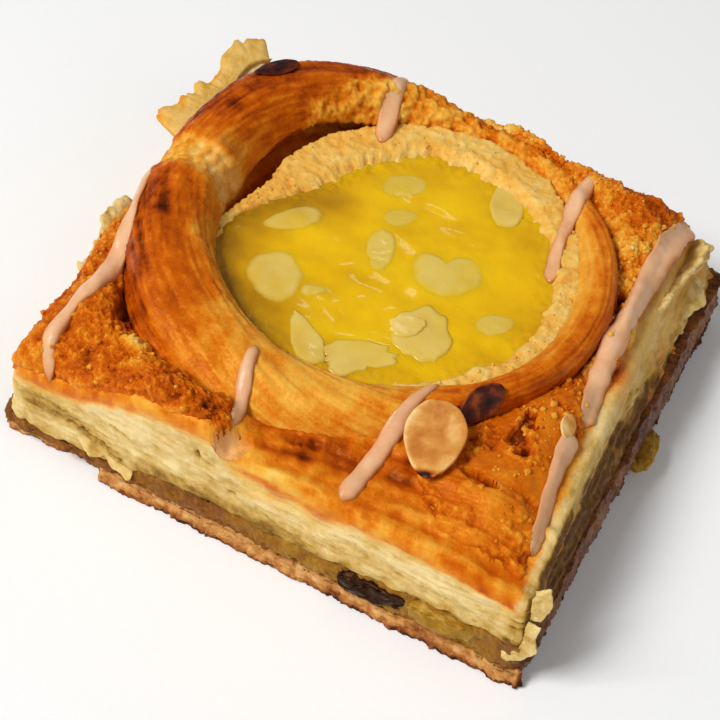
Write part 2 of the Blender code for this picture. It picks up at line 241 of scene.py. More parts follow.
def granular(points: Array, seed: int = 0) -> tuple[Array, Array]:
    """Surface of baked streusel: fused crumbs of about a millimetre on soft lumps.

    Args:
        points: Points in millimetres.
        seed: Which draw to use.

    Returns:
        The relief in millimetres, and painted shade: how much darker each spot is painted, most in the
        hollows.
    """
    small, tiny = pebbled(points, 1.5, seed), pebbled(points, 0.8, seed + 1)
    soft, wide = layered(points, 3.0, seed + 2, 5), layered(points, 9.0, seed + 3, 2)
    rubble = layered(points, 1.3, seed + 4, 3)
    relief = 0.20 * small + 0.12 * tiny - 0.2 + 0.34 * rubble + 0.60 * soft + 0.7 * wide
    # Painted shade: the lower a spot lies in the relief, the darker it is painted.
    hollow_shade = 0.12 * (0.45 - small) + 0.08 * (0.45 - tiny) - 0.10 * rubble - 0.18 * soft - 0.14 * wide
    return relief, hollow_shade


# Finishes


def linear(colour: str) -> tuple[float, float, float, float]:
    """Turn an sRGB hex colour into the linear colour that a shader takes.

    Args:
        colour: A hash sign and six hex digits.

    Returns:
        Red, green, blue and an alpha of 1.
    """
    parts = [int(colour[start : start + 2], 16) / 255 for start in (1, 3, 5)]
    light = [part / 12.92 if part <= 0.04045 else ((part + 0.055) / 1.055) ** 2.4 for part in parts]
    return (*light, 1.0)


def add_node(
    tree: bpy.types.NodeTree, kind: str, settings: dict | None = None, links: dict | None = None
) -> bpy.types.Node:
    """Add one node with its settings and links.

    Args:
        tree: The material's node tree.
        kind: The node's type name.
        settings: Values by name: a property of the node, or else an input socket by name or number.
        links: Output sockets by the name or number of the input that they feed.

    Returns:
        The new node.
    """
    node = tree.nodes.new(kind)
    for name, value in (settings or {}).items():
        if isinstance(name, str) and hasattr(node, name):
            setattr(node, name, value)
        else:
            node.inputs[name].default_value = value
    for name, output in (links or {}).items():
        tree.links.new(output, node.inputs[name])
    return node


Socket = bpy.types.NodeSocket
Stops = tuple[tuple[float, str], ...]


@dataclass(frozen=True)
class Paint:
    """One material while it is mixed: its nodes, its shader, and where on the object a spot is."""

    tree: bpy.types.NodeTree
    shader: bpy.types.Node
    place: Socket

    def feed(self, name: str, output: Socket) -> None:
        """Drive one of the shader's inputs."""
        self.tree.links.new(output, self.shader.inputs[name])

    def grit(self, size: float, detail: float = 3.0) -> Socket:
        """Fine noise whose features measure about size millimetres."""
        settings = {"Scale": 1 / (size * MM), "Detail": detail, "Roughness": 0.6}
        return add_node(self.tree, "ShaderNodeTexNoise", settings, {"Vector": self.place}).outputs["Fac"]

    def shade(self, name: str) -> Socket:
        """Read one of the mesh's own shades."""
        return add_node(self.tree, "ShaderNodeAttribute", {"attribute_name": name}).outputs["Fac"]

    def spread(self, noise: Socket, low: float, high: float) -> Socket:
        """Map a noise's usual range on to low to high."""
        settings = {"From Min": 0.25, "From Max": 0.75, "To Min": low, "To Max": high}
        return add_node(self.tree, "ShaderNodeMapRange", settings, {"Value": noise}).outputs["Result"]

    def total(self, first: Socket, second: Socket) -> Socket:
        """Sum of two values."""
        return add_node(self.tree, "ShaderNodeMath", {"operation": "ADD"}, {0: first, 1: second}).outputs[0]

    def flecked(self, name: str, noise: Socket, amount: float) -> Socket:
        """One of the mesh's shades, with a noise of up to amount either way."""
        return self.total(self.shade(name), self.spread(noise, -amount, amount))

    def ramp(self, value: Socket, stops: Stops) -> Socket:
        """Read a colour off a ramp.

        Args:
            value: Where on the ramp to read.
            stops: Places from 0 to 1, each with an sRGB hex colour.

        Returns:
            The colour.
        """
        node = add_node(self.tree, "ShaderNodeValToRGB", None, {"Fac": value})
        while len(node.color_ramp.elements) < len(stops):
            node.color_ramp.elements.new(1.0)
        for element, (place, colour) in zip(node.color_ramp.elements, stops):
            element.position = place
            element.color = linear(colour)
        return node.outputs["Color"]

    def blend(self, share: Socket, first: Socket, second: Socket) -> Socket:
        """Mix two colours by a share."""
        colours = {0: share, 6: first, 7: second}
        return add_node(self.tree, "ShaderNodeMix", {"data_type": "RGBA"}, colours).outputs[2]

    def bump(self, height: Socket, depth: float, strength: float = 1.0) -> None:
        """Give the surface fine relief.

        Args:
            height: The value that the relief follows.
            depth: Its depth in millimetres.
            strength: How much of it shows.
        """
        settings = {"Distance": depth * MM, "Strength": strength}
        relief = add_node(self.tree, "ShaderNodeBump", settings, {"Height": height})
        self.feed("Normal", relief.outputs["Normal"])


@dataclass(frozen=True)
class Finish:
    """What every finish shares: its name and the shader values that are the same all over."""

    name: str = "finish"
    roughness: float = 0.5
    ior: float = 1.45
    specular: float = 0.2
    subsurface: float = 0.0
    subsurface_reach: float = 1.0
    subsurface_tint: Triple = (1.0, 0.5, 0.2)
    coat: float = 0.0
    coat_roughness: float = 0.1
    gleam: str = "#FFFFFF"

    def material(self) -> bpy.types.Material:
        """Make the material, or find the one that was made before.

        Returns:
            The material.
        """
        made = bpy.data.materials.get(self.name)
        if made:
            return made
        material = bpy.data.materials.new(self.name)
        material.use_nodes = True
        tree = material.node_tree
        shader = tree.nodes["Principled BSDF"]
        for socket, value in (
            ("Roughness", self.roughness),
            ("IOR", self.ior),
            ("Specular IOR Level", self.specular),
            ("Subsurface Weight", self.subsurface),
            ("Subsurface Scale", self.subsurface_reach * MM),
            ("Subsurface Radius", self.subsurface_tint),
            ("Coat Weight", self.coat),
            ("Coat Roughness", self.coat_roughness),
            ("Specular Tint", linear(self.gleam)),
        ):
            shader.inputs[socket].default_value = value
        place = add_node(tree, "ShaderNodeTexCoord").outputs["Object"]
        self.dress(Paint(tree, shader, place))
        return material

    def dress(self, paint: Paint) -> None:
        """Add the colour and relief nodes; each finish has its own.

        Args:
            paint: The nodes to add to.
        """
        raise NotImplementedError


BAKE_STOPS = (
    (0.00, "#F2CC72"), (0.16, "#EFB648"), (0.32, "#EA9F32"), (0.46, "#DE7E16"), (0.60, "#CA5E08"),
    (0.73, "#B04A06"), (0.85, "#873004"), (1.00, "#381406"),
)


OPEN_CRUMB_STOPS = (
    (0.0, "#F0D698"), (0.28, "#DCBA72"), (0.52, "#BE9646"), (0.74, "#8A6428"), (1.0, "#5E3A1E"),
)


@dataclass(frozen=True)
class BakedDough(Finish):
    """Laminated yeast dough, egg-washed and baked.

    The wash gives the brown top a soft gloss with fine dry specks. Torn open crumb is pale, matt and
    slightly translucent, and turns olive where it is dense or soaked. The bake and wet shades also carry
    painted shade, darker in grooves, holes, pits and hollows.
    """

    name: str = "baked_laminated_dough"
    ior: float = 1.47
    specular: float = 0.34
    gleam: str = "#FFB860"
    subsurface: float = 0.2
    subsurface_reach: float = 2.0
    subsurface_tint: Triple = (1.0, 0.70, 0.30)
    grain: float = 0.45

    def dress(self, paint: Paint) -> None:
        """Colour by how far each spot is baked, or by how open and wet the crumb is there, painted shade
        included.

        Args:
            paint: The nodes to add to.
        """
        fine = paint.grit(self.grain)
        coarse = paint.grit(2.4)
        bake = paint.flecked("bake", fine, 0.07)
        bake = paint.total(bake, paint.spread(coarse, -0.05, 0.05))
        crust = paint.ramp(bake, BAKE_STOPS)
        wet = paint.flecked("wet", fine, 0.08)
        crumb = paint.ramp(wet, OPEN_CRUMB_STOPS)
        open_share = paint.shade("crumb")
        colour = paint.blend(open_share, crust, crumb)
        paint.feed("Base Color", colour)
        gloss = paint.total(paint.spread(fine, 0.12, 0.34), paint.shade("dry"))
        paint.feed("Roughness", gloss)
        paint.bump(fine, 0.15, 0.8)


@dataclass(frozen=True)
class Streusel(Finish):
    """Butter streusel: sugary toasted crumbs with a dry sandy gloss. The bake shade that it reads is painted
    darker in the hollows between crumbs, as painted shade.
    """

    name: str = "toasted_streusel"
    roughness: float = 0.55
    gleam: str = "#FFC070"
    subsurface: float = 0.06
    subsurface_tint: Triple = (1.0, 0.5, 0.18)

    def dress(self, paint: Paint) -> None:
        """Colour by how far each crumb is toasted, with the painted shade in the hollows that the bake shade
        carries.

        Args:
            paint: The nodes to add to.
        """
        fine = paint.grit(0.35)
        toast = paint.flecked("bake", fine, 0.12)
        paint.feed("Base Color", paint.ramp(toast, BAKE_STOPS))
        paint.feed("Roughness", paint.spread(fine, 0.28, 0.62))
        paint.bump(fine, 0.18, 0.9)


@dataclass(frozen=True)
class Custard(Finish):
    """Set vanilla custard under a thin clear glaze: bright yellow, soft inside and shiny on top."""

    name: str = "glazed_vanilla_custard"
    roughness: float = 0.2
    ior: float = 1.42
    subsurface: float = 0.35
    subsurface_reach: float = 3.0
    subsurface_tint: Triple = (1.0, 0.8, 0.12)
    coat: float = 0.35
    coat_roughness: float = 0.05

    def dress(self, paint: Paint) -> None:
        """Slow cloudiness, a deeper yellow towards the rim that is painted shade from the rope's wall, and a
        paler milkiness over sunk almonds.

        Args:
            paint: The nodes to add to.
        """
        cloud = paint.grit(9.0, 2.0)
        depth = paint.flecked("depth", cloud, 0.12)
        stops = ((0.0, "#FACE08"), (0.3, "#F0BE02"), (0.65, "#D29C00"), (1.0, "#A47400"))
        colour = paint.ramp(depth, stops)
        milky = paint.ramp(cloud, ((0.3, "#E6BC50"), (0.7, "#F2D074")))
        colour = paint.blend(paint.shade("milky"), colour, milky)
        paint.feed("Base Color", colour)
        paint.bump(paint.grit(1.6), 0.22, 0.7)


@dataclass(frozen=True)
class FlakedAlmond(Finish):
    """Blanched flaked almond, toasted: ivory to tan with faint length-wise veins, charred at thin tips."""

    name: str = "toasted_flaked_almond"
    roughness: float = 0.42
    subsurface: float = 0.15
    subsurface_reach: float = 1.2
    subsurface_tint: Triple = (1.0, 0.6, 0.25)

    def dress(self, paint: Paint) -> None:
        """Colour by how far the nut is toasted at each spot.

        Args:
            paint: The nodes to add to.
        """
        fine = paint.grit(0.5)
        broad = paint.grit(4.0, 2.0)
        toast = paint.flecked("bake", fine, 0.04)
        toast = paint.total(toast, paint.spread(broad, -0.06, 0.06))
        stops = (
            (0.0, "#F4CE88"), (0.22, "#DA9848"), (0.5, "#B8641E"), (0.7, "#8E3E12"), (0.85, "#4E1A0B"),
            (1.0, "#1C0B08"),
        )
        paint.feed("Base Color", paint.ramp(toast, stops))
        paint.bump(fine, 0.05, 0.6)


@dataclass(frozen=True)
class SugarIcing(Finish):
    """Water icing of icing sugar: milky, half clear over the brown crust, set with a soft shine."""

    name: str = "sugar_icing"
    roughness: float = 0.3
    ior: float = 1.45
    subsurface: float = 0.5
    subsurface_reach: float = 1.6
    subsurface_tint: Triple = (1.0, 0.7, 0.5)
    gleam: str = "#FFE0C0"
    coat: float = 0.22
    coat_roughness: float = 0.06

    def dress(self, paint: Paint) -> None:
        """Whiter where it is thick, pinkish beige where the crust shows through.

        Args:
            paint: The nodes to add to.
        """
        cloud = paint.grit(2.5, 2.0)
        thick = paint.flecked("thick", cloud, 0.12)
        stops = ((0.0, "#C4763A"), (0.3, "#DE9E6C"), (0.65, "#ECB88C"), (1.0, "#F4D2B0"))
        paint.feed("Base Color", paint.ramp(thick, stops))
        paint.bump(cloud, 0.12, 0.4)


@dataclass(frozen=True)
class FruitFilling(Finish):
    """Cooked apple and raisin filling with cinnamon sugar: wet, brown to olive, with bright wet specks."""

    name: str = "cooked_fruit_filling"
    ior: float = 1.4
    subsurface: float = 0.1
    subsurface_reach: float = 1.5
    gleam: str = "#FFB060"
    coat: float = 0.06
    coat_roughness: float = 0.08

    def dress(self, paint: Paint) -> None:
        """Olive gel to dark syrup by the mesh's syrup shade, which carries painted shade between grains, with
        a speckle.

        Args:
            paint: The nodes to add to.
        """
        fine = paint.grit(0.6)
        syrup = paint.flecked("syrup", fine, 0.16)
        stops = ((0.0, "#A8802C"), (0.3, "#9A6822"), (0.55, "#8E5A22"), (0.8, "#744222"), (1.0, "#4A2614"))
        paint.feed("Base Color", paint.ramp(syrup, stops))
        paint.feed("Roughness", paint.spread(fine, 0.2, 0.5))
        paint.bump(fine, 0.25, 0.8)


@dataclass(frozen=True)
class BakedBase(Finish):
    """Thin short base, baked on a tin: tan and matt at the cut edge, browner and gritty underneath."""

    name: str = "baked_short_base"
    roughness: float = 0.85
    specular: float = 0.22
    gleam: str = "#FFC080"
    subsurface: float = 0.05

    def dress(self, paint: Paint) -> None:
        """Colour by how brown each spot is, with painted shade in the hollows of the edge.

        Args:
            paint: The nodes to add to.
        """
        fine = paint.grit(0.45)
        brown = paint.flecked("bake", fine, 0.12)
        stops = (
            (0.0, "#ECC084"), (0.3, "#D49A58"), (0.5, "#B4743C"), (0.7, "#8A4C28"), (0.85, "#5E3020"),
            (1.0, "#33180F"),
        )
        paint.feed("Base Color", paint.ramp(brown, stops))
        paint.bump(fine, 0.2, 0.9)


@dataclass(frozen=True)
class RaisinSkin(Finish):
    """Plumped dark raisin: near-black wrinkled skin with a blue-grey sheen on its facets."""

    name: str = "raisin_skin"
    roughness: float = 0.34
    specular: float = 0.3
    gleam: str = "#E09A68"

    def dress(self, paint: Paint) -> None:
        """Almost black, with a little bloom.

        Args:
            paint: The nodes to add to.
        """
        bloom = paint.grit(1.5)
        colour = paint.ramp(bloom, ((0.3, "#1E1009"), (0.6, "#341D12"), (0.8, "#553423")))
        paint.feed("Base Color", colour)
        paint.bump(bloom, 0.2, 0.6)


@dataclass(frozen=True)
class CookedApple(Finish):
    """Cooked apple: glassy olive-gold flesh, wet on the outside."""

    name: str = "cooked_apple"
    roughness: float = 0.22
    ior: float = 1.37
    gleam: str = "#FFC060"
    subsurface: float = 0.3
    subsurface_reach: float = 2.0
    subsurface_tint: Triple = (1.0, 0.7, 0.15)
    coat: float = 0.08

    def dress(self, paint: Paint) -> None:
        """Olive-gold with slow variation and small cells.

        Args:
            paint: The nodes to add to.
        """
        cloud = paint.grit(2.2, 4.0)
        colour = paint.ramp(cloud, ((0.3, "#8A5E16"), (0.55, "#A87C28"), (0.75, "#C49C4A")))
        paint.feed("Base Color", colour)
        paint.bump(paint.grit(0.7), 0.12, 0.6)


@dataclass(frozen=True)
class SugarGrain(Finish):
    """Coarse sugar: small clear crystals that catch single bright glints."""

    name: str = "sugar_grain"
    roughness: float = 0.12
    ior: float = 1.54
    subsurface: float = 0.3
    subsurface_tint: Triple = (1.0, 0.7, 0.4)

    def dress(self, paint: Paint) -> None:
        """Amber to clear from grain to grain.

        Args:
            paint: The nodes to add to.
        """
        colour = paint.ramp(paint.shade("bake"), ((0.0, "#F6DEB4"), (0.6, "#E9A85C"), (1.0, "#C86E28")))
        paint.feed("Base Color", colour)


@dataclass(frozen=True)
class StudioFloor(Finish):
    """Matt white studio paper."""

    name: str = "studio_paper"
    roughness: float = 0.9

    def dress(self, paint: Paint) -> None:
        """White with the faintest tooth.

        Args:
            paint: The nodes to add to.
        """
        tooth = paint.grit(1.2)
        paint.feed("Base Color", paint.ramp(tooth, ((0.0, "#FBFBFA"), (1.0, "#FFFFFF"))))


# Meshes


def grid_quads(rows: int, columns: int, closed: bool = False, start: int = 0) -> Array:
    """Quads of a sheet whose points run along its rows.

    Args:
        rows: How many rows of points.
        columns: How many points in a row.
        closed: Whether each row is a ring.
        start: Number of the first point.

    Returns:
        One row of four point numbers for each quad.
    """
    last = columns if closed else columns - 1
    i, j = np.meshgrid(np.arange(rows - 1), np.arange(last), indexing="ij")
    k = (j + 1) % columns
    low, high = i * columns, (i + 1) * columns
    quads = np.stack([low + j, high + j, high + k, low + k], axis=-1)
    return quads.reshape(-1, 4) + start


def turned_grid(rows: int, columns: int, low: float, high: float = 1.0) -> tuple[Array, Array]:
    """A full turn along each row, and an even run from low to high from row to row."""
    turn = np.linspace(0, math.tau, columns, endpoint=False)[None, :]
    return np.broadcast_arrays(turn, np.linspace(low, high, rows)[:, None])


def tube(rows: int, columns: int) -> list[Array]:
    """Faces of a tube of closed rows, with a cap at each end."""
    ring = np.arange(columns)
    return [grid_quads(rows, columns, closed=True), ring[None, :], ((rows - 1) * columns + ring)[None, ::-1]]


def ball(level: int) -> tuple[Array, Array]:
    """Build a ball of radius 1 from triangles.

    Args:
        level: How often it is subdivided.

    Returns:
        Its points and its triangles.
    """
    cage = bmesh.new()
    bmesh.ops.create_icosphere(cage, subdivisions=level, radius=1)
    points = np.array([vertex.co for vertex in cage.verts])
    faces = np.array([[vertex.index for vertex in face.verts] for face in cage.faces])
    cage.free()
    return points, faces


@dataclass
class Skin:
    """Points, faces and shades of one mesh while it is being shaped."""

    points: Array
    faces: list[Array]
    shades: dict[str, Array] = field(default_factory=dict)

    def normals(self) -> Array:
        """Find the outward direction at each point, from the faces round it.

        Returns:
            One unit vector for each point.
        """
        total = np.zeros_like(self.points)
        for group in self.faces:
            if group.shape[1] > 4:
                continue
            corners = self.points[group]
            facing = np.cross(corners[:, 2] - corners[:, 0], corners[:, -1] - corners[:, 1])
            for axis in range(3):
                spread = np.repeat(facing[:, axis], group.shape[1])
                total[:, axis] += np.bincount(group.ravel(), spread, len(self.points))
        return total / np.maximum(np.linalg.norm(total, axis=1, keepdims=True), 1e-9)

    def push(self, distance: Array) -> None:
        """Move each point outwards by its own distance."""
        self.points = self.points + self.normals() * np.asarray(distance)[:, None]

    def paint(self, **shades: Array | float) -> None:
        """Set the shades that the finish reads, each from 0 to 1."""
        size = len(self.points)
        self.shades = {name: np.clip(np.broadcast_to(shade, size), 0, 1) for name, shade in shades.items()}

    def tree(self) -> BVHTree:
        """Search tree over the faces, for things that are laid on them."""
        quads = [face for group in self.faces if group.shape[1] <= 4 for face in group.tolist()]
        return BVHTree.FromPolygons(self.points.tolist(), quads)

    def joined(self, other: "Skin") -> "Skin":
        """Join this skin and another.

        Args:
            other: A skin with the same shades.

        Returns:
            Both as one skin.
        """
        faces = self.faces + [group + len(self.points) for group in other.faces]
        shades = {name: np.concatenate([shade, other.shades[name]]) for name, shade in self.shades.items()}
        return Skin(np.concatenate([self.points, other.points]), faces, shades)

    def piece(
        self, name: str, finish: Finish, slot: str, *nodes: str, smooth: bool = True
    ) -> bpy.types.Object:
        """Make the mesh an object of the scene that rides on the pastry.

        Args:
            name: The piece's name.
            finish: Its finish.
            slot: A material slot name from the record; not used.
            nodes: CAD nodes that it stands for.
            smooth: Whether its faces are shaded smoothly, or flat like broken crumbs.

        Returns:
            The new object.
        """
        mesh = bpy.data.meshes.new(name)
        corners = np.concatenate([group.ravel() for group in self.faces])
        counts = np.concatenate([np.full(len(group), group.shape[1]) for group in self.faces])
        mesh.vertices.add(len(self.points))
        mesh.vertices.foreach_set("co", (self.points * MM).astype(np.float32).ravel())
        mesh.loops.add(len(corners))
        mesh.loops.foreach_set("vertex_index", corners.astype(np.int32))
        mesh.polygons.add(len(counts))
        mesh.polygons.foreach_set("loop_start", (np.cumsum(counts) - counts).astype(np.int32))
        mesh.update(calc_edges=True)
        mesh.validate()
        if smooth:
            mesh.shade_smooth()
        for shade, values in self.shades.items():
            attribute = mesh.attributes.new(shade, "FLOAT", "POINT")
            attribute.data.foreach_set("value", np.asarray(values, np.float32))
        mesh.materials.append(finish.material())
        thing = bpy.data.objects.new(name, mesh)
        bpy.context.scene.collection.objects.link(thing)
        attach(thing, BODY)
        if nodes:
            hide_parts(*nodes)
        log.info("%s: %d faces, stands for %s", name, len(mesh.polygons), ", ".join(nodes) or "nothing")
        return thing


@dataclass(frozen=True)
class Scoop:
    """A hollow: an ellipsoid with its middle outside the surface, which pushes points inwards."""

    centre: Triple
    size: Triple
    turn: float = 0.0
    lean: float = 0.0
    fray: float = 0.4

    def press(self, points: Array, towards: Triple) -> tuple[Array, Array]:
        """Push the points that lie in the ellipsoid on until they reach its far side.

        Args:
            points: Points in millimetres.
            towards: The direction to push in.

        Returns:
            The moved points, and how deep in the hollow each one lies, from 0 to 1.
        """
        turned = Matrix.Rotation(math.radians(self.turn), 3, "Z")
        rotation = turned @ Matrix.Rotation(math.radians(self.lean), 3, "Y")
        frayed = 1 + self.fray * layered(points, 3.0, 7, 3)[:, None]
        scale = np.array(self.size) * frayed
        local = (points - np.array(self.centre)) @ np.array(rotation) / scale
        step = np.array(towards) @ np.array(rotation) / scale
        a, b, c = np.sum(step * step, axis=1), np.sum(local * step, axis=1), np.sum(local * local, axis=1) - 1
        run = np.where(c < 0, (np.sqrt(np.maximum(b * b - a * c, 0)) - b) / a, 0.0)
        return points + run[:, None] * np.array(towards), np.clip(run * np.sqrt(a), 0, 1)


@dataclass(frozen=True)
class Patch:
    """A soft-edged patch in plan, by which a shade rises or falls."""

    x: float
    y: float
    reach_x: float
    reach_y: float
    amount: float
    turn: float = 0.0

    def at(self, x: Array, y: Array) -> Array:
        """Find the patch's amount at plan points.

        Args:
            x: Across, in millimetres.
            y: To the back, in millimetres.

        Returns:
            The amount at each point.
        """
        cos, sin = math.cos(math.radians(self.turn)), math.sin(math.radians(self.turn))
        along = (x - self.x) * cos + (y - self.y) * sin
        across = (y - self.y) * cos - (x - self.x) * sin
        return self.amount * np.exp(-((along / self.reach_x) ** 2) - (across / self.reach_y) ** 2)


# Plan and heights

Outline = tuple[tuple[float, float], ...]


def in_corners(corners: Outline, u: Array, v: Array) -> Array:
    """Place points in a four-cornered outline.

    Args:
        corners: From the left front corner to the right and round.
        u: Across, from -1 to 1.
        v: To the back, from -1 to 1.

    Returns:
        Their plan points.
    """
    left_front, right_front, right_back, left_back = (np.array(corner, float) for corner in corners)
    across, back = ((np.asarray(part)[..., None] + 1) / 2 for part in (u, v))
    near = left_front + (right_front - left_front) * across
    far = left_back + (right_back - left_back) * across
    return near + (far - near) * back


def cut_corners(u: Array, v: Array, share: float) -> tuple[Array, Array]:
    """Round the corners of a square from -1 to 1.

    Args:
        u: Across.
        v: To the back.
        share: How far the rounding reaches in from a corner.

    Returns:
        The same points with those in the corners drawn in.
    """
    over_u = np.maximum(np.abs(u) - 1 + share, 0) / share
    over_v = np.maximum(np.abs(v) - 1 + share, 0) / share
    both = (over_u > 0) & (over_v > 0)
    pull = np.where(both, np.maximum(over_u, over_v) / np.maximum(np.hypot(over_u, over_v), 1e-9), 1.0)
    new_u = np.where(both, np.sign(u) * (1 - share + share * over_u * pull), u)
    new_v = np.where(both, np.sign(v) * (1 - share + share * over_v * pull), v)
    return new_u, new_v


def perimeter(columns: int, rows: int) -> tuple[Array, Array]:
    """Walk round the border of a square from -1 to 1 in even steps.

    Args:
        columns: Steps along the front.
        rows: Steps along a side.

    Returns:
        Both coordinates, from the left front corner to the right and round.
    """
    across, back = np.linspace(-1, 1, columns + 1), np.linspace(-1, 1, rows + 1)
    u = np.concatenate([across[:-1], np.ones(rows), across[:0:-1], -np.ones(rows)])
    v = np.concatenate([-np.ones(columns), back[:-1], np.ones(columns), back[:0:-1]])
    return u, v


BASE_TOP = 3.4
FILLING_CORNERS = ((-56.0, -48.6), (54.0, -51.6), (56.6, 50.4), (-56.6, 51.4))
BASE_CORNERS = ((-57.5, -49.5), (55.0, -53.0), (58.5, 51.5), (-58.0, 53.0))
FOOT_CORNERS = ((-55.0, -49.4), (54.2, -52.2), (55.5, 50.6), (-57.0, 52.0))
RIM_CORNERS = ((-53.2, -48.6), (52.8, -50.6), (48.4, 49.6), (-58.0, 52.0))
PLATEAU = 26.0
# Along the front, the height of the slab's rim
FRONT_RIM = (
    (-56, 20.0), (-40, 22.5), (-25, 28.0), (-10, 29.4), (-2, 25.8), (12, 24.4), (40, 23.6), (56, 23.8),
)

# Azimuth, inner radius, outer radius, crest height and lean (how far outwards the crest stands) of the rope
ROPE_STATIONS = (
    (0, 36.8, 46.0, 32.0, 0.34), (30, 36.2, 44.2, 31.5, 0.30), (60, 37.0, 43.4, 29.4, 0.2),
    (90, 35.6, 42.6, 30.0, 0.1), (120, 34.8, 45.4, 36.4, 0.1), (150, 34.2, 49.0, 39.6, 0.12),
    (180, 33.4, 48.6, 37.6, 0.12), (210, 33.8, 51.0, 35.4, 0.05), (240, 34.8, 53.4, 32.2, -0.2),
    (270, 35.8, 50.0, 29.8, -0.3), (300, 37.0, 46.0, 29.6, -0.2), (330, 37.8, 45.6, 30.8, 0.2),
)


def filling_top(x: Array, y: Array) -> Array:
    """The upper face of the filling, which swells towards the fruit and has soaked up the right side.

    Args:
        x: Across, in millimetres.
        y: To the back, in millimetres.

    Returns:
        Its height.
    """
    soaked = 3.4 * ease(44, 53, x) * ease(-51, -36, y)
    level = 1.7 + 3.2 * ease(-40, -14, x) + 2.0 * ease(4, 34, x)
    return BASE_TOP + level + soaked + 0.35 * swell(flat(x, y), 12, 2)


def crust_height(x: Array, y: Array) -> Array:
    """The upper face of the slab before the rope's bed and the well are pressed into it.

    Args:
        x: Across, in millimetres.
        y: To the back, in millimetres.

    Returns:
        Its height.
    """
    front = 1 - ease(0, 16, y + 48.6)
    rim = np.interp(x, *np.array(FRONT_RIM, float).T)
    height = PLATEAU + (rim - PLATEAU) * front
    height = height - 3.6 * (1 - ease(0, 12, x + 53.2)) * (1 - front)
    height = height - 1.5 * ease(38, 50, x)
    height = height + 6.6 * ease(6, 20, y) * ease(52, 43, y) * ease(-43, -52, x)
    return height + 0.5 * swell(flat(x, y), 14, 11)


def folded(points: Array) -> Array:
    """Long folds that run along the front of the crust.

    Args:
        points: Points in millimetres.

    Returns:
        Relief in millimetres.
    """
    x, y, _ = points.T
    along = ease(-12, -2, x) * ease(-30, -36, y) * ease(-52, -49, y)
    bent = y - 0.10 * x + 0.0022 * (x - 20) ** 2
    wide = swell(flat(x, bent), (26, 3.2, 9), 12)
    narrow = layered(flat(x, bent), (14, 1.5, 9), 14, 3)
    fine, finest = (0.16 * layered(flat(x, y), span, seed, 3) for span, seed in ((3.2, 18), (2.6, 16)))
    return along * (0.9 * wide + 0.30 * narrow + fine) + finest


class Side(Enum):
    """The sides of the slab that have a look of their own, by their outward direction in plan."""

    FRONT = (0.0, -1.0)
    RIGHT = (1.0, 0.0)

    def share(self, directions: Array) -> Array:
        """How far each direction faces this side, from 0 to 1."""
        return ease(0.35, 0.75, directions[:, 0] * self.value[0] + directions[:, 1] * self.value[1])


# Slab of dough

TOP_SCOOPS = (
    Scoop((-6.4, -50.2, 28.6), (3.0, 6.4, 5.4), turn=-30, fray=0.1),
    Scoop((-38.6, -31.4, 26.4), (1.4, 3.0, 3.0), turn=20),
    Scoop((-37.2, -37.2, 25.8), (1.8, 1.0, 2.4), turn=-15),
    Scoop((35.4, -34.8, 28.0), (3.8, 1.3, 2.4), turn=-14, fray=0.25),
    Scoop((40.0, -25.6, 28.4), (0.9, 2.2, 2.8), turn=-34, fray=0.6),
    Scoop((37.4, -21.4, 28.6), (2.6, 4.6, 0.9), turn=-12, fray=0.6),
    Scoop((42.2, 17.0, 29.4), (0.9, 6.4, 3.4), turn=10, fray=0.9),
    Scoop((42.6, 17.6, 29.4), (1.3, 2.2, 4.2), turn=12, fray=0.9),
    Scoop((7.0, -40.6, 27.0), (6.4, 1.7, 2.2), turn=8),
    Scoop((19.0, -38.4, 26.8), (5.4, 1.4, 2.2), turn=-4),
)
WALL_SCOOPS = (
    Scoop((-45.0, -51.6, 14.0), (6.0, 2.0, 2.0), lean=14, fray=0.3),
    Scoop((-34.0, -51.0, 10.6), (6.6, 2.6, 1.3), lean=20, fray=0.7),
    Scoop((-29.0, -50.2, 17.2), (2.6, 1.6, 0.7), lean=20, fray=0.7),
    Scoop((-12.0, -51.0, 21.6), (0.9, 2.6, 2.2)),
    Scoop((-4.6, -52.6, 15.0), (2.0, 3.4, 1.0), lean=-10),
    Scoop((57.0, 30.0, 14.0), (4.4, 8.0, 2.6)),
    Scoop((57.0, 41.0, 15.5), (4.4, 4.0, 2.6)),
    Scoop((57.0, 14.0, 16.0), (3.6, 9.0, 1.2)),
    Scoop((-58.4, 10.0, 16.0), (3.2, 8.0, 1.8)),
    Scoop((-57.6, -22.0, 14.0), (3.2, 6.0, 1.6)),
    Scoop((20.0, 53.0, 15.0), (9.0, 3.2, 1.5)),
    Scoop((-22.0, 54.0, 17.0), (7.0, 3.4, 1.7)),
)
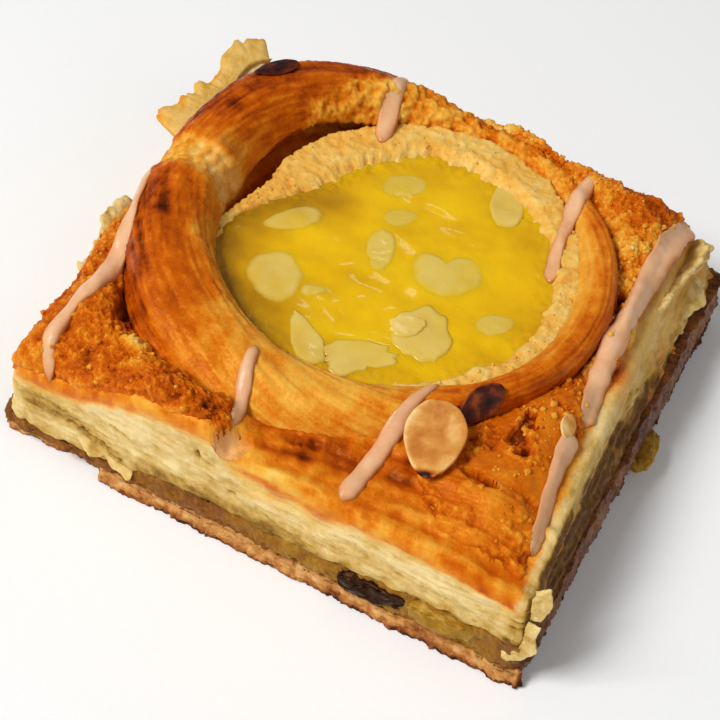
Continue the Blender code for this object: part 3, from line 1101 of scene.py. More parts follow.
# Places on the front side, as x and height, where the crumb is dense and olive; the slanted patches at x -35
# and -26 are painted shade, in the recess over the low flap and in a small pit.
OLIVE_PATCHES = (
    Patch(-46, 14, 7, 4, 0.46), Patch(-35, 12, 8, 2, 0.30, -12), Patch(-38, 18, 3, 1.0, 0.30, -20),
    Patch(-26, 16.5, 3, 0.8, 0.30, -20), Patch(-14, 11, 12, 2.4, 0.26, -4), Patch(6, 12, 14, 3.0, 0.34),
    Patch(30, 14, 10, 1.8, 0.20), Patch(50, 12, 3, 5, 0.34), Patch(20, 20, 14, 2.4, -0.14, -3),
    Patch(-30, 22, 8, 3, -0.12, 14),
)
TOP_PATCHES = (
    Patch(-26, -47, 15, 4.0, -0.10), Patch(-38, -44, 5, 3.0, 0.14), Patch(-46, -38, 3, 7.0, 0.18),
    Patch(-53, -30, 2.2, 22, -0.36), Patch(-17, -43, 6, 3.0, 0.08), Patch(0, -48.6, 13, 2.4, -0.20),
    Patch(20, -49.4, 12, 2.0, -0.12), Patch(8, -40, 9, 2.4, 0.22, 8), Patch(3, -44.2, 7, 0.9, 0.26, 12),
    Patch(23, -38, 6, 3.0, 0.20), Patch(38, -41, 12, 3.0, 0.12), Patch(44, -46.5, 9, 2.6, 0.05),
    Patch(38, -16, 4, 6.0, 0.08), Patch(37, -13.6, 2.2, 2.6, 0.26), Patch(37.4, -24, 1.8, 4.0, 0.22),
    Patch(36, -33, 4.4, 2.0, 0.18), Patch(49.5, 16, 3.4, 36, -0.34), Patch(50, -30, 2.6, 14, -0.10),
    Patch(46.6, 2.2, 2.8, 4.4, 0.50, -12), Patch(46, -30, 2.5, 9, 0.06), Patch(-54, -10, 3, 8, -0.25),
)


# Hollows further out along X than this are in the left or right side
END_WALLS = 54
# Along the right side, the height up to which syrup has soaked the crumb
SOAKED = ((-52, 22), (-45, 24.5), (-34, 24.5), (-17, 22), (1, 19.6), (19, 17.4), (32, 14.5), (50, 13))


def press_holes(skin: Skin) -> Array:
    """Press the top's holes and crevices into a skin.

    Args:
        skin: The skin, which is changed.

    Returns:
        How deep in a hole each point lies, from 0 to 1.
    """
    hole = np.zeros(len(skin.points))
    for scoop in TOP_SCOOPS:
        skin.points, deep = scoop.press(skin.points, (0, 0, -1))
        hole = np.maximum(hole, deep)
    return hole


@dataclass
class DoughSlab:
    """Slab of laminated dough: a glazed top with a bed for the rope and a well, and four torn sides."""

    columns: int = 222
    rows: int = 202
    wall_rows: int = 44
    lip: float = 2.0
    rounding: float = 0.06
    skin: Skin | None = None

    def top_points(self) -> Array:
        """Lay out the top face, which rolls over into the sides at its border.

        Returns:
            Its points, row by row from the front.
        """
        u, v = np.meshgrid(np.linspace(-1, 1, self.columns + 1), np.linspace(-1, 1, self.rows + 1))
        u, v = u.ravel(), v.ravel()
        plan = in_corners(RIM_CORNERS, *cut_corners(u, v, self.rounding))
        x, y = plan[:, 0], plan[:, 1]
        azimuth, radius = polar(x, y)
        outer = around(ROPE_STATIONS, azimuth, 2)
        height = crust_height(x, y)
        height += folded(np.stack([x, y, height], axis=-1))
        degrees = np.degrees(azimuth) % 360
        left_foot = ease(190, 210, degrees) * ease(256, 238, degrees)
        height -= 1.2 * hill(radius, outer + 1.6, 2.2) * left_foot
        bed = ease(outer + 0.6, outer - 1.2, radius)
        height += (21.5 - height) * bed
        height += (17.0 - height) * ease(36.0, 33.5, radius)
        border = np.minimum((1 - np.abs(u)) * 54, (1 - np.abs(v)) * 50)
        roll = np.clip(1 - border / self.lip, 0, 1)
        height -= self.lip * (1 - np.sqrt(1 - roll**2))
        return np.stack([x, y, height], axis=-1)

    def wall_points(self, ring: Array) -> Array:
        """Lay out the sides, from the lip down to the foot.

        Args:
            ring: The points of the top's border.

        Returns:
            Their points, row by row.
        """
        u, v = cut_corners(*perimeter(self.columns, self.rows), self.rounding)
        foot = in_corners(FOOT_CORNERS, u, v)
        rows = []
        for share in np.linspace(0, 1, self.wall_rows + 1)[1:]:
            plan = ring[:, :2] + (foot - ring[:, :2]) * share
            ragged = 1.3 * layered(flat(*plan.T), 4.0, 57, 3)
            low = filling_top(plan[:, 0], plan[:, 1]) - 0.2 + ragged
            rows.append(np.column_stack([plan, ring[:, 2] + (low - ring[:, 2]) * share]))
        return np.concatenate(rows)

    def shape(self) -> Skin:
        """Build the plain slab, then give the top its relief and the sides their torn layers.

        Returns:
            The finished skin, with shades for its finish.
        """
        top = self.top_points()
        across = self.columns + 1
        front, right = np.arange(self.columns), np.arange(self.rows) * across + self.columns
        back, left = self.rows * across + np.arange(self.columns, 0, -1), np.arange(self.rows, 0, -1) * across
        border = np.concatenate([front, right, back, left])
        walls = self.wall_points(top[border])
        ring = len(border)
        below = len(top) + np.arange(ring)
        faces = [
            grid_quads(self.rows + 1, across)[:, ::-1],
            np.stack([border, below, np.roll(below, -1), np.roll(border, -1)], axis=-1),
            grid_quads(self.wall_rows, ring, closed=True, start=len(top)),
            (below + (self.wall_rows - 1) * ring)[None, ::-1],
        ]
        skin = Skin(np.concatenate([top, walls]), faces)
        shares = np.repeat(np.linspace(0, 1, self.wall_rows + 1)[1:], ring)
        depth_share = np.concatenate([np.zeros(len(top)), shares])
        self.finish_surface(skin, depth_share)
        self.skin = skin
        return skin

    def finish_surface(self, skin: Skin, depth_share: Array) -> None:
        """Add relief, hollows and shades.

        Args:
            skin: The plain slab.
            depth_share: 0 on the top face, and from 0 at the lip to 1 at the foot on the sides.
        """
        points, normals = skin.points, skin.normals()
        x, y, z = points.T
        side = ease(0.02, 0.12, depth_share) * ease(0.75, 0.35, normals[:, 2])
        front, right = Side.FRONT.share(normals), Side.RIGHT.share(normals)

        creased = layered(points, 3.6, 21, 4)
        stretched = layered(points, (6.4, 6.4, 3.6), 31, 5)
        bands = np.sin((z + 1.3 * swell(points, (16, 16, 7), 35)) * math.tau / 3.1)
        nearest, _, draw = lumps(points, (3.4, 3.4, 1.4), 37)
        pores = ease(0.36, 0.10, nearest) * (draw > 0.68)
        grain = layered(points, 1.1, 39, 3)
        streaks = layered(points, (7.0, 7.0, 0.8), 40, 3)
        torn = 0.28 * stretched + 0.20 * right * bands - 0.22 * pores + 0.12 * grain + 0.22 * streaks
        undercut = 0.9 * ease(0.88, 1.0, depth_share)
        skin.push(0.20 * creased * (1 - side) + (torn * ease(1.0, 0.86, depth_share) - undercut) * side)

        hollow = np.zeros(len(points))
        for scoop in WALL_SCOOPS:
            east, north, _ = scoop.centre
            inwards = (-np.sign(east), 0, 0) if abs(east) > END_WALLS else (0, -np.sign(north), 0)
            skin.points, deep = scoop.press(skin.points, inwards)
            hollow = np.maximum(hollow, deep)
        hole = press_holes(skin)
        rough = (0.10 + 0.25 * (hollow > 0)) * layered(skin.points, 1.3, 41, 3)
        skin.points = skin.points + rough[:, None] * normals

        washed = ease(-8, -2, x) * ease(20, 10, x) * front
        band = 2.4 + 4.6 * washed - 0.6 * ease(16, 30, x) * front - 1.6 * right
        band = np.maximum(band + 1.5 * layered(points, (5, 5, 4), 43, 3), 0.3)
        below = depth_share * (crust_height(x, y) - filling_top(x, y))
        crumb = side * ease(band * 0.1, band * 1.45, below + 0.4 * stretched + 1.3 * streaks)
        split = hill(x, -6.0, 5) * ease(-42, -45, y)
        crumb = np.maximum(crumb, ease(0.05, 0.3, hole) * split * 0.5)
        from_right = np.interp(y, (-50.6, 49.6), (52.8, 48.4)) - x
        bared = ease(3.1, 2.3, from_right + 0.7 * creased) * ease(6, -4, y)
        bared = np.maximum(bared, 0.5 * ease(3.4, 2.2, from_right + 0.7 * creased))
        bared = bared * (1 - Patch(47.2, 2.0, 3.4, 5.0, 1.0).at(x, y))
        corner = ease(8, 16, y + 2 * creased) * ease(-48.5, -51.5, x + 1.2 * creased)
        crumb = np.maximum(crumb, np.maximum(bared, corner) * (1 - side))
        azimuth, radius = polar(x, y)
        outer = around(ROPE_STATIONS, azimuth, 2)
        bake = 0.50 + sum(patch.at(x, y) for patch in TOP_PATCHES) + 0.09 * layered(points, 6.0, 51, 3)
        # Painted shade: the grooves of the folds and creases are painted darker and their ridges lighter.
        bake -= 0.24 * folded(points) + 0.10 * creased
        degrees = np.degrees(azimuth) % 360
        ahead = ease(238, 256, degrees) * ease(330, 312, degrees)
        # Painted shade: a darker band on the crust along the rope's outer foot, except at the front.
        bake += 0.22 * hill(radius, outer, 1.6) * (1 - side) * (1 - ahead)
        golden = 0.44 - 0.26 * ease(0, band, below) + (0.12 + 0.24 * washed) * stretched
        bake += 0.14 * front * layered(points, 2.6, 53, 3)
        bake = bake * (1 - side) + side * golden
        # Painted shade: holes are painted near-black brown, except the split at the front, which stays
        # golden.
        bake = np.maximum(bake, (0.95 - 0.45 * split) * ease(0.10, 0.40, hole))
        # Painted shade: inside the rope's inner edge, under the rope and the custard, the crust is painted
        # dark.
        bake = np.where(radius < around(ROPE_STATIONS, azimuth, 1) + 2, 0.66 + 0.12 * grain, bake)
        cloudy = layered(points, 9.0, 55, 3) + layered(points, (3.6, 3.6, 1.8), 59, 3)
        # The crumb is painted darker olive where it lies lower, in pores and between streaks: partly dense
        # crumb, partly painted shade.
        wet = 0.15 - 0.12 * stretched + 0.16 * pores - 0.10 * grain - 0.16 * streaks + 0.15 * cloudy
        wet += 0.16 * right * ease(0.1, 0.6, depth_share) + 0.10 * right * bands
        wet += front * sum(patch.at(x, z) for patch in OLIVE_PATCHES) * (1 + 0.8 * stretched)
        # Wall hollows are painted darker olive, partly dense crumb and partly painted shade; the crumb also
        # darkens towards the foot, where syrup soaks in.
        wet += 0.42 * ease(0.03, 0.30, hollow) + 0.34 * ease(0.66, 1.0, depth_share + 0.1 * streaks)
        # The right side and the bared strip are a little wetter; holes are painted darker olive as painted
        # shade, except in the split.
        wet += 0.12 * np.maximum(right, bared) + 0.30 * ease(0.25, 0.6, hole) * (1 - 1.6 * split)
        soaked = np.interp(y, *np.array(SOAKED, float).T) + 1.6 * stretched + 1.2 * streaks
        wet = np.maximum(wet, (0.96 + 0.08 * bands + 0.2 * grain) * ease(1.2, -1.2, z - soaked) * right)
        wet = np.where(corner * (1 - side) > 0.5, 0.06 + 0.12 * creased, wet)
        skin.paint(bake=bake, crumb=crumb, wet=wet, dry=0.42 * crumb + 0.04)

    def build(self) -> bpy.types.Object:
        """Make the slab, which stands for the CAD dough."""
        return self.shape().piece("dough_slab", BakedDough(), "dough", "dough")


# Rope of dough

ROPE_MIDDLE = 42  # distance of the rope's middle from the well's, which turns angles into lengths
# Azimuth, then how far the rope is baked at its inner side, its crown and its outer side
ROPE_BAKE = (
    (0, 0.20, 0.54, 0.66), (25, 0.18, 0.50, 0.62), (45, 0.18, 0.44, 0.56), (70, 0.22, 0.44, 0.56),
    (95, 0.40, 0.62, 0.74), (120, 0.58, 0.76, 0.84), (150, 0.62, 0.78, 0.86), (172, 0.48, 0.70, 0.84),
    (187, 0.30, 0.38, 0.62), (198, 0.40, 0.68, 0.86), (215, 0.38, 0.64, 0.84), (235, 0.36, 0.54, 0.72),
    (255, 0.30, 0.38, 0.46), (275, 0.24, 0.28, 0.34), (295, 0.28, 0.38, 0.42), (315, 0.36, 0.58, 0.62),
    (340, 0.32, 0.60, 0.66),
)


@dataclass
class DoughRope:
    """Rope of laminated dough laid in a ring: stretched strands along it, and a seam where its ends meet."""

    columns: int = 740
    rows: int = 94
    seat: float = 19.5
    seam: float = math.radians(187)
    skin: Skin | None = None

    def shape(self) -> Skin:
        """Sweep the rope's section round the well.

        Returns:
            The finished skin, with shades for its finish.
        """
        azimuth = np.linspace(0, math.tau, self.columns, endpoint=False)[None, :]
        over = np.linspace(0, 1, self.rows, endpoint=False)[:, None]
        hung = hill(azimuth, math.radians(138), math.radians(30))
        first = -38 - 42 * hung
        shown, under = np.minimum(over / 0.86, 1), np.maximum(over - 0.86, 0)
        turn = np.radians(first + (218 - first) * shown + (142 + first) * under / 0.14)
        azimuth, hung = np.broadcast_arrays(azimuth, hung * np.ones_like(over))
        inner, outer, crest, lean = (around(ROPE_STATIONS, azimuth, column) for column in (1, 2, 3, 4))
        past = (azimuth - self.seam) % math.tau
        gap = np.minimum(past, math.tau - past) * ROPE_MIDDLE
        across = -np.cos(turn)
        across = np.sign(across) * np.abs(across) ** 0.82
        lift = np.sin(turn)
        radius = (inner + outer) / 2 + (across + lean * np.maximum(lift, 0)) * (outer - inner) / 2
        radius += 5.0 * hung * ease(-0.02, -0.34, lift) * (across < 0)
        middle = self.seat + (crest - self.seat) * (0.46 + 0.13 * hung * (across < 0))
        height = np.where(
            lift > 0,
            middle + (crest - middle) * np.abs(lift) ** np.where(across * lean < 0, 1.1, 0.8),
            middle + (middle - self.seat) * np.maximum(lift * 1.2, -1),
        )
        points = rows_of(*from_well(azimuth, radius), height)
        skin = Skin(points, [grid_quads(self.rows, self.columns, closed=True)])
        # The rope's section closes on itself, so the last row joins the first.
        ring = np.arange(self.columns)
        last = (self.rows - 1) * self.columns + ring
        skin.faces.append(np.stack([last, ring, np.roll(ring, -1), np.roll(last, -1)], axis=-1))
        self.finish_surface(skin, past.ravel(), gap.ravel(), across.ravel(), lift.ravel(), azimuth.ravel())
        self.skin = skin
        return skin

    def finish_surface(
        self, skin: Skin, past: Array, gap: Array, across: Array, lift: Array, azimuth: Array
    ) -> None:
        """Add strands, the seam and the shades.

        Args:
            skin: The plain rope.
            past: Angle past the seam.
            gap: Distance from the seam along the rope.
            across: -1 at the rope's inner side and 1 at its outer side.
            lift: 1 at the crown and -1 underneath.
            azimuth: Azimuth of each point.
        """
        width = (around(ROPE_STATIONS, azimuth, 2) - around(ROPE_STATIONS, azimuth, 1)) * 0.62
        wrap = np.arctan2(lift, -across) * width / math.pi * 2
        drift = 7.0 * np.sin(past * 1.5 + 0.6)
        unrolled = flat(past * ROPE_MIDDLE, wrap * 1.9 + drift)
        broad = layered(unrolled, (30, 5.2, 9), 61, 3)
        strands = layered(unrolled, (17, 1.3, 9), 65, 3)
        fibres = layered(unrolled, (9, 0.7, 9), 69, 2)
        blotch = layered(skin.points, 5.0, 71, 3)
        degrees = np.degrees(azimuth) % 360
        in_seam = ease(5.0, 2.2, gap + 1.6 * blotch) * ease(-0.4, 0.3, lift)
        ragged = layered(skin.points, 1.6, 73, 4)
        # The second value is painted shade, darker in the hollows between crumbs; it is added to the heaped
        # crumbs' bake below.
        crumbled, toast = granular(skin.points, 301)
        reach = 116 - 13 * across - 16 * np.minimum(across, 0) + 6 * blotch
        heaped = ease(43, 54, degrees + 6 * blotch - 5 * across) * ease(reach + 7, reach - 5, degrees)
        plain = 0.42 * broad + 0.24 * strands + 0.10 * fibres
        relief = plain * (1 - heaped) + (1.1 * crumbled + 0.2) * heaped
        puff = 1.8 * np.exp(-(((azimuth - math.radians(183)) * 34 / 2.6) ** 2)) * hill(across, -0.72, 0.34)
        skin.push(relief * (1 - 0.6 * in_seam) - in_seam * (1.0 - 0.5 * ragged) + puff)
        skin.push(0.10 * layered(skin.points, 0.9, 75, 2))

        baked = [around(ROPE_BAKE, azimuth, column) for column in (1, 2, 3)]
        inwards = np.clip(-across, 0, 1)
        outwards = np.clip(across, 0, 1)
        bake = baked[1] + (baked[0] - baked[1]) * inwards**1.3 + (baked[2] - baked[1]) * outwards**1.3
        strength = 0.6 + 0.5 * ease(0.4, 0.75, bake)
        mottled = layered(skin.points, (2.6, 2.6, 1.6), 79, 3)
        # Raised strands and swells are painted lighter and the grooves between them darker: partly the
        # dough's own streaks, partly painted highlight and shade that follow the relief.
        bake = bake - strength * (0.07 * broad + 0.11 * strands + 0.07 * fibres + 0.09 * mottled)
        burn = Patch(-42.0, -10.6, 1.8, 3.6, 0.24, 6).at(skin.points[:, 0], skin.points[:, 1])
        bake += burn + 0.10 * blotch
        bake = bake + in_seam * (0.26 + 0.24 * ragged - bake) * 0.92
        golden = 0.32 + 0.20 * np.clip(across + 0.3, 0, 1) + toast
        golden = golden + 0.08 * blotch + 0.12 * hill(degrees, 76, 9)
        bake = bake + heaped * (golden - bake)
        # Painted shade: the rope is painted darker underneath, and a little lighter underneath at the back
        # left, under its overhang.
        bake += 0.20 * ease(0.1, -0.7, lift) * (1 - 1.4 * hill(degrees, 138, 30))
        bare = in_seam * ease(0.1, -0.7, across + 0.5 * ragged) * 0.4
        dry = 0.02 + 0.28 * np.maximum(in_seam * (0.6 - bare), heaped)
        skin.paint(bake=bake, crumb=bare, wet=0.24 + 0.3 * ragged, dry=dry)

    def build(self) -> bpy.types.Object:
        """Make the rope, which stands for the CAD ring."""
        return self.shape().piece("dough_rope", BakedDough(), "dough_ring", "dough_ring")


# Custard, its crumb rim and the almonds sunk in it

# Azimuth, then the custard's edge, the crumb rim's outer edge and the height of the rim's top
CRUMB_STATIONS = (
    (0, 33.8, 38.6, 28.6), (20, 32.4, 38.0, 28.8), (40, 31.0, 37.8, 28.8), (60, 29.2, 38.4, 28.6),
    (80, 28.4, 37.6, 28.6), (100, 26.4, 36.0, 28.6), (120, 22.8, 34.2, 28.4), (140, 19.8, 32.6, 28.2),
    (160, 19.4, 30.6, 28.0), (176, 23.0, 28.6, 27.6), (190, 28.4, 31.4, 27.4), (205, 33.0, 36.0, 26.8),
    (235, 33.4, 36.4, 26.6), (270, 35.4, 38.0, 27.0), (300, 35.7, 39.0, 27.6), (320, 35.2, 39.6, 28.2),
    (340, 35.6, 39.8, 28.6),
)


def custard_height(x: Array, y: Array) -> Array:
    """The custard's upper face: a low dome with slow folds.

    Args:
        x: Across, in millimetres.
        y: To the back, in millimetres.

    Returns:
        Its height.
    """
    places = flat(x, y)
    _, radius = polar(x, y)
    level = CUSTARD_LEVEL + 0.6 * (1 - (radius / 34) ** 2)
    return level + 0.34 * swell(places, (17, 7.5, 9), 81) + 0.11 * swell(places, (6, 3.4, 9), 83)


def custard_depth_and_shade(points: Array) -> Array:
    """How deep a yellow the custard shows: deeper towards its edge and most of all at the left, as painted
    shade from the rope's wall.

    Args:
        points: Points in millimetres.

    Returns:
        A shade from 0 to 1.
    """
    angle, radius = polar(points[:, 0], points[:, 1])
    edge = around(CRUMB_STATIONS, angle, 1)
    # Painted shade: the rope's wall shades the custard's left side, so the edge is painted deepest there.
    left = np.maximum(-np.cos(angle - math.radians(30)), 0)
    depth = 0.32 + 0.62 * ease(edge - 10 - 8 * left, edge, radius) * (0.26 + 0.74 * left)
    return np.clip(depth + 0.15 * swell(points, (13, 6, 9), 87) + 0.08 * swell(points, (5, 3, 9), 88), 0, 1)


@dataclass(frozen=True)
class Flake:
    """An almond flake in the custard: place, size, turn, and how its outline departs from an oval."""

    x: float
    y: float
    length: float
    width: float
    turn: float
    taper: float = 0.2
    bite: float = 0.0
    jag: float = 0.04
    rise: float = 0.22
    seed: int = 0


@dataclass
class CustardPool:
    """Pool of set custard in the well, and the ring of moist crumb round it."""

    columns: int = 400
    rows: int = 78
    rim_columns: int = 640
    rim_rows: int = 34
    floor: float = 18.0
    skin: Skin | None = None
    rim: Skin | None = None

    def shape(self) -> Skin:
        """Build the pool as one closed form.

        Returns:
            Its skin.
        """
        azimuth, share = turned_grid(self.rows, self.columns, 0.012)
        reach = around(CRUMB_STATIONS, azimuth, 1) + 1.6
        x, y = (part.ravel() for part in from_well(azimuth, reach * share))
        top = rows_of(x, y, custard_height(x, y))
        skirt = top[-self.columns :].copy()
        skirt[:, 2] = self.floor
        skin = Skin(np.concatenate([top, skirt]), tube(self.rows + 1, self.columns))
        rippled = np.concatenate([ease(0.80, 0.97, share).ravel(), np.zeros(self.columns)])
        skin.points[:, 2] += 0.34 * rippled * layered(skin.points * (1, 1, 0), 1.5, 85, 3)
        skin.paint(depth=custard_depth_and_shade(skin.points), milky=0)
        self.skin = skin
        return skin

    def shape_rim(self) -> Skin:
        """Build the crumb rim: a ragged granular band that rises from the custard to the rope.

        Returns:
            Its skin.
        """
        azimuth, across = turned_grid(self.rim_rows, self.rim_columns, 0.0)
        inner, outer, top = (around(CRUMB_STATIONS, azimuth, column) for column in (1, 2, 3))
        rough = rows_of(np.cos(azimuth) * 30, np.sin(azimuth) * 30, 0 * azimuth)
        frayed = layered(rough, 3.4, 91, 4).reshape(azimuth.shape)
        frayed_outside = layered(rough, 2.6, 95, 4).reshape(azimuth.shape)
        inner = inner + 0.9 * frayed
        outer = outer + 0.8 * frayed_outside
        radius = inner + (outer - inner) * np.clip((across - 0.08) / 0.76, 0, 1)
        rise = ease(0.0, 0.34, across) * (1 - 0.9 * ease(0.80, 1.0, across) ** 0.8)
        low = CUSTARD_LEVEL - 1.0
        height = low + (top - low) * rise - 9.0 * ease(0.84, 1.0, across)
        points = rows_of(*from_well(azimuth, radius), height)
        skin = Skin(points, [grid_quads(self.rim_rows, self.rim_columns, closed=True)])
        relief, hollow_shade = granular(skin.points, 97)
        moist = layered(skin.points, 1.9, 98, 4)
        skin.push(0.34 * relief + 0.30 * moist + 0.2)
        out = across.ravel()
        degrees = np.degrees(azimuth.ravel()) % 360
        # Painted shade: the rim is darker at the back left, beside the rope's overhang, and in the hollows
        # between crumbs and where the moist relief is low.
        shaded = ease(205, 185, degrees) * ease(150, 170, degrees)
        bake = 0.12 + 0.36 * hollow_shade - 0.08 * moist + 0.10 * layered(skin.points, 5.0, 103, 2) + 0.10 * shaded
        # The outer band, which sinks into the gap by the rope, turns to open crumb painted darker olive as
        # painted shade.
        crumb, wet = 0.15 + 0.7 * ease(0.84, 0.94, out), 0.2 + 0.45 * ease(0.86, 1.0, out)
        skin.paint(bake=bake, crumb=crumb, wet=wet, dry=0.12 - 0.12 * ease(0.5, 0.1, out))
        self.rim = skin
        return skin

    def build(self) -> None:
        """Make the pool, which stands for the CAD custard, and its crumb rim."""
        self.shape().piece("custard_pool", Custard(), "custard", "custard")
        self.shape_rim().piece("crumb_rim", BakedDough(), "dough")


SUNK_FLAKES = (
    Flake(-18.7, -9.2, 14.8, 11.4, -51, taper=0.1, rise=0.3, seed=1),
    Flake(-10.4, -8.9, 5.4, 3.2, 35, taper=0.4, rise=0.2, seed=2),
    Flake(-23.0, 6.4, 13.2, 6.6, 46, taper=-0.2, bite=0.2, rise=0.3, seed=3),
    Flake(-3.9, 7.1, 12.8, 5.8, -71, taper=0.15, jag=0.06, rise=0.3, seed=4),
    Flake(9.9, 8.4, 14.6, 14.0, 22, taper=0.1, bite=0.62, rise=0.3, seed=5),
    Flake(-8.0, 26.5, 11.0, 8.0, 40, taper=0.1, rise=0.05, seed=7),
    Flake(23.4, 0.6, 8.6, 5.6, 42, taper=0.2, rise=0.1, seed=8),
    Flake(-4.6, 17.6, 8.0, 6.0, 45, taper=0.2, rise=0.04, seed=10),
    Flake(9.4, -8.4, 7.4, 5.4, 38, taper=0.3, jag=0.12, rise=1.25, seed=15),
)
NAMED_FLAKES = {
    "almond_custard_left": Flake(-6.3, -20.2, 14.4, 5.8, 135, taper=0.42, jag=0.05, rise=0.5, seed=11),
    "almond_custard_front": Flake(4.6, -19.4, 14.4, 7.4, 28, taper=0.12, jag=0.16, rise=0.4, seed=12),
    "almond_custard_middle": Flake(12.2, -8.7, 13.8, 11.6, -62, taper=0.1, jag=0.08, rise=0.55, seed=13),
    "almond_custard_right": Flake(12.5, 32.2, 14.4, 7.2, 112, taper=0.14, jag=0.02, rise=0.6, seed=14),
}


@dataclass
class SunkAlmonds:
    """Almond flakes that lie in the custard, just under its glaze or just through it."""

    spokes: int = 64
    rings: int = 14

    def shape(self, flake: Flake) -> Skin:
        """Build one flake as a thin lens that follows the custard.

        Args:
            flake: The flake's place and outline.

        Returns:
            Its skin.
        """
        angle, share = turned_grid(self.rings, self.spokes, 0.02)
        rough = rows_of(np.cos(angle) * 3, np.sin(angle) * 3, flake.seed * 7)
        jag = 1 + flake.jag * 2 * layered(rough, 1.6, 107, 3).reshape(angle.shape)
        bitten = 1 - flake.bite * hill(np.angle(np.exp(1j * (angle - math.radians(95)))), 0.0, 0.5)
        along = np.cos(angle) * flake.length / 2 * share * jag * bitten
        width = flake.width / 2 * (1 - flake.taper * np.cos(angle))
        sideways = np.sin(angle) * width * share * jag * bitten
        turn = math.radians(flake.turn)
        x = flake.x + along * math.cos(turn) - sideways * math.sin(turn)
        y = flake.y + along * math.sin(turn) + sideways * math.cos(turn)
        level = custard_height(x.ravel(), y.ravel()).reshape(x.shape)
        edge = ease(1.0, 0.86 if flake.rise > 0.35 else 0.74, share)
        up = rows_of(x, y, level - 0.06 + (0.5 * flake.rise + 0.06) * edge**0.7)
        down = up.copy()
        down[:, 2] = level.ravel() - 0.5
        count = len(up)
        faces = [
            grid_quads(self.rings, self.spokes, closed=True),
            grid_quads(self.rings, self.spokes, closed=True, start=count)[:, ::-1],
            np.arange(self.spokes)[None, :],
            count + np.arange(self.spokes)[None, ::-1],
        ]
        last = (self.rings - 1) * self.spokes + np.arange(self.spokes)
        faces.append(np.stack([last, last + count, np.roll(last, -1) + count, np.roll(last, -1)], axis=-1))
        cloudy = 1 + 0.25 * swell(up, 3.0, 109)
        shown = np.tile(edge.ravel() * cloudy, 2) * (0.46 + 0.85 * min(flake.rise, 0.7))
        points = np.concatenate([up, down])
        return Skin(points, faces, {"depth": custard_depth_and_shade(points), "milky": np.clip(shown, 0, 1)})

    def build(self) -> None:
        """Make the flakes: one piece for those sunk deep, and one for each CAD flake."""
        sunk = reduce(Skin.joined, [self.shape(flake) for flake in SUNK_FLAKES])
        sunk.piece("sunk_almond_flakes", Custard(), "custard")
        for name, flake in NAMED_FLAKES.items():
            self.shape(flake).piece(f"{name}_flake", Custard(), "almond", name)


# Toppings


@dataclass
class Surface:
    """The finished surfaces that a topping is laid on."""

    trees: list[BVHTree]

    def height(self, x: float, y: float) -> float:
        """Find the uppermost surface at a plan point.

        Args:
            x: Across, in millimetres.
            y: To the back, in millimetres.

        Returns:
            Its height, or -1 where there is none.
        """
        found = [tree.ray_cast(Vector((x, y, 80)), Vector((0, 0, -1)))[0] for tree in self.trees]
        heights = [hit.z for hit in found if hit]
        return max(heights) if heights else -1.0


@dataclass(frozen=True)
class LooseAlmond:
    """One flaked almond on the crust: an oval slice with rounded edges, pointed at one end."""

    node: str
    centre: Triple
    size: Triple
    turn: Triple
    slot: str = "almond"
    toast: float = 0.12
    char: float = 0.0
    sag: float = 0.3
    seed: int = 0
    spokes: int = 72
    rings: int = 30

    def shape(self, surface: Surface) -> Skin:
        """Build the slice.

        Args:
            surface: What it lies on.

        Returns:
            Its skin, with a shade for how far it is toasted.
        """
        angle, over = turned_grid(self.rings, self.spokes, 0.03, 0.97)
        share = np.sin(over * math.pi) ** 0.55
        thin = np.sign(np.cos(over * math.pi)) * np.abs(np.cos(over * math.pi)) ** 0.45
        rough = rows_of(np.cos(angle) * 4, np.sin(angle) * 4, self.seed * 5)
        uneven = 1 + 0.035 * layered(rough, 3.0, 111, 3).reshape(angle.shape)
        length, width, thickness = self.size
        y = np.sin(angle) * share * uneven
        taper = 1 - 0.24 * -y - 0.12 * y * y
        x = np.cos(angle) * share * taper * uneven
        cup = 0.07 * width * (x * x + y * y)
        points = rows_of(x * width / 2, y * length / 2, thin * thickness / 2 + cup)
        points[:, 2] += 0.10 * layered(points + self.seed, (3.5, 5.0, 9.0), 113, 3)
        tip = ease(-0.74, -0.98, y.ravel()) * self.char
        border = ease(0.80, 1.0, share.ravel())
        ragged_tip = np.clip(tip * (1 + 0.8 * layered(points, 1.6, 117, 3)), 0, 1)
        bake = self.toast + 0.95 * ragged_tip - (0.10 - 0.10 * x.ravel()) * border
        bake += 0.28 * np.maximum(layered(points, 4.0, 115, 3), -0.2)
        turn = Euler([math.radians(angle) for angle in self.turn]).to_matrix()
        level = np.array(self.centre) + (points * (1, 1, 0)) @ np.array(turn).T
        points = np.array(self.centre) + points @ np.array(turn).T
        east, north = (level[:, :2] - np.array(self.centre)[:2]).T
        ground = np.array([surface.height(*place) for place in level[:, :2]])
        terms = np.stack([np.ones_like(east), east, north, east**2, east * north, north**2], axis=-1)
        bent = terms @ np.linalg.lstsq(terms, ground, rcond=None)[0]
        points[:, 2] += self.sag * (bent + thickness / 2 - level[:, 2])
        return Skin(points, tube(self.rings, self.spokes), {"bake": np.clip(bake, 0, 1)})

    def build(self, surface: Surface) -> None:
        """Make the slice, which stands for its CAD node."""
        self.shape(surface).piece(f"{self.node}_slice", FlakedAlmond(), self.slot, self.node)


LOOSE_ALMONDS = (
    LooseAlmond(
        "almond_large", (25.5, -32.0, 29.4), (15.6, 11.0, 1.5), (14, -10, 12),
        toast=0.22, char=1.0, sag=0.2, seed=1,
    ),
    LooseAlmond(
        "almond_dark", (29.1, -20.5, 30.6), (10.0, 5.2, 1.0), (18, 34, -20),
        slot="almond_burnt", toast=0.78, char=0.2, sag=0.7, seed=2,
    ),
    LooseAlmond(
        "almond_small", (44.6, -16.7, 28.2), (5.2, 3.0, 0.7), (2, 22, 10), toast=0.10, sag=0.6, seed=3
    ),
    LooseAlmond(
        "almond_charred", (-41.2, 32.0, 39.4), (9.8, 5.4, 0.5), (-4, -22, -36),
        slot="almond_burnt", toast=0.86, char=0, sag=0.9, seed=4,
    ),
)


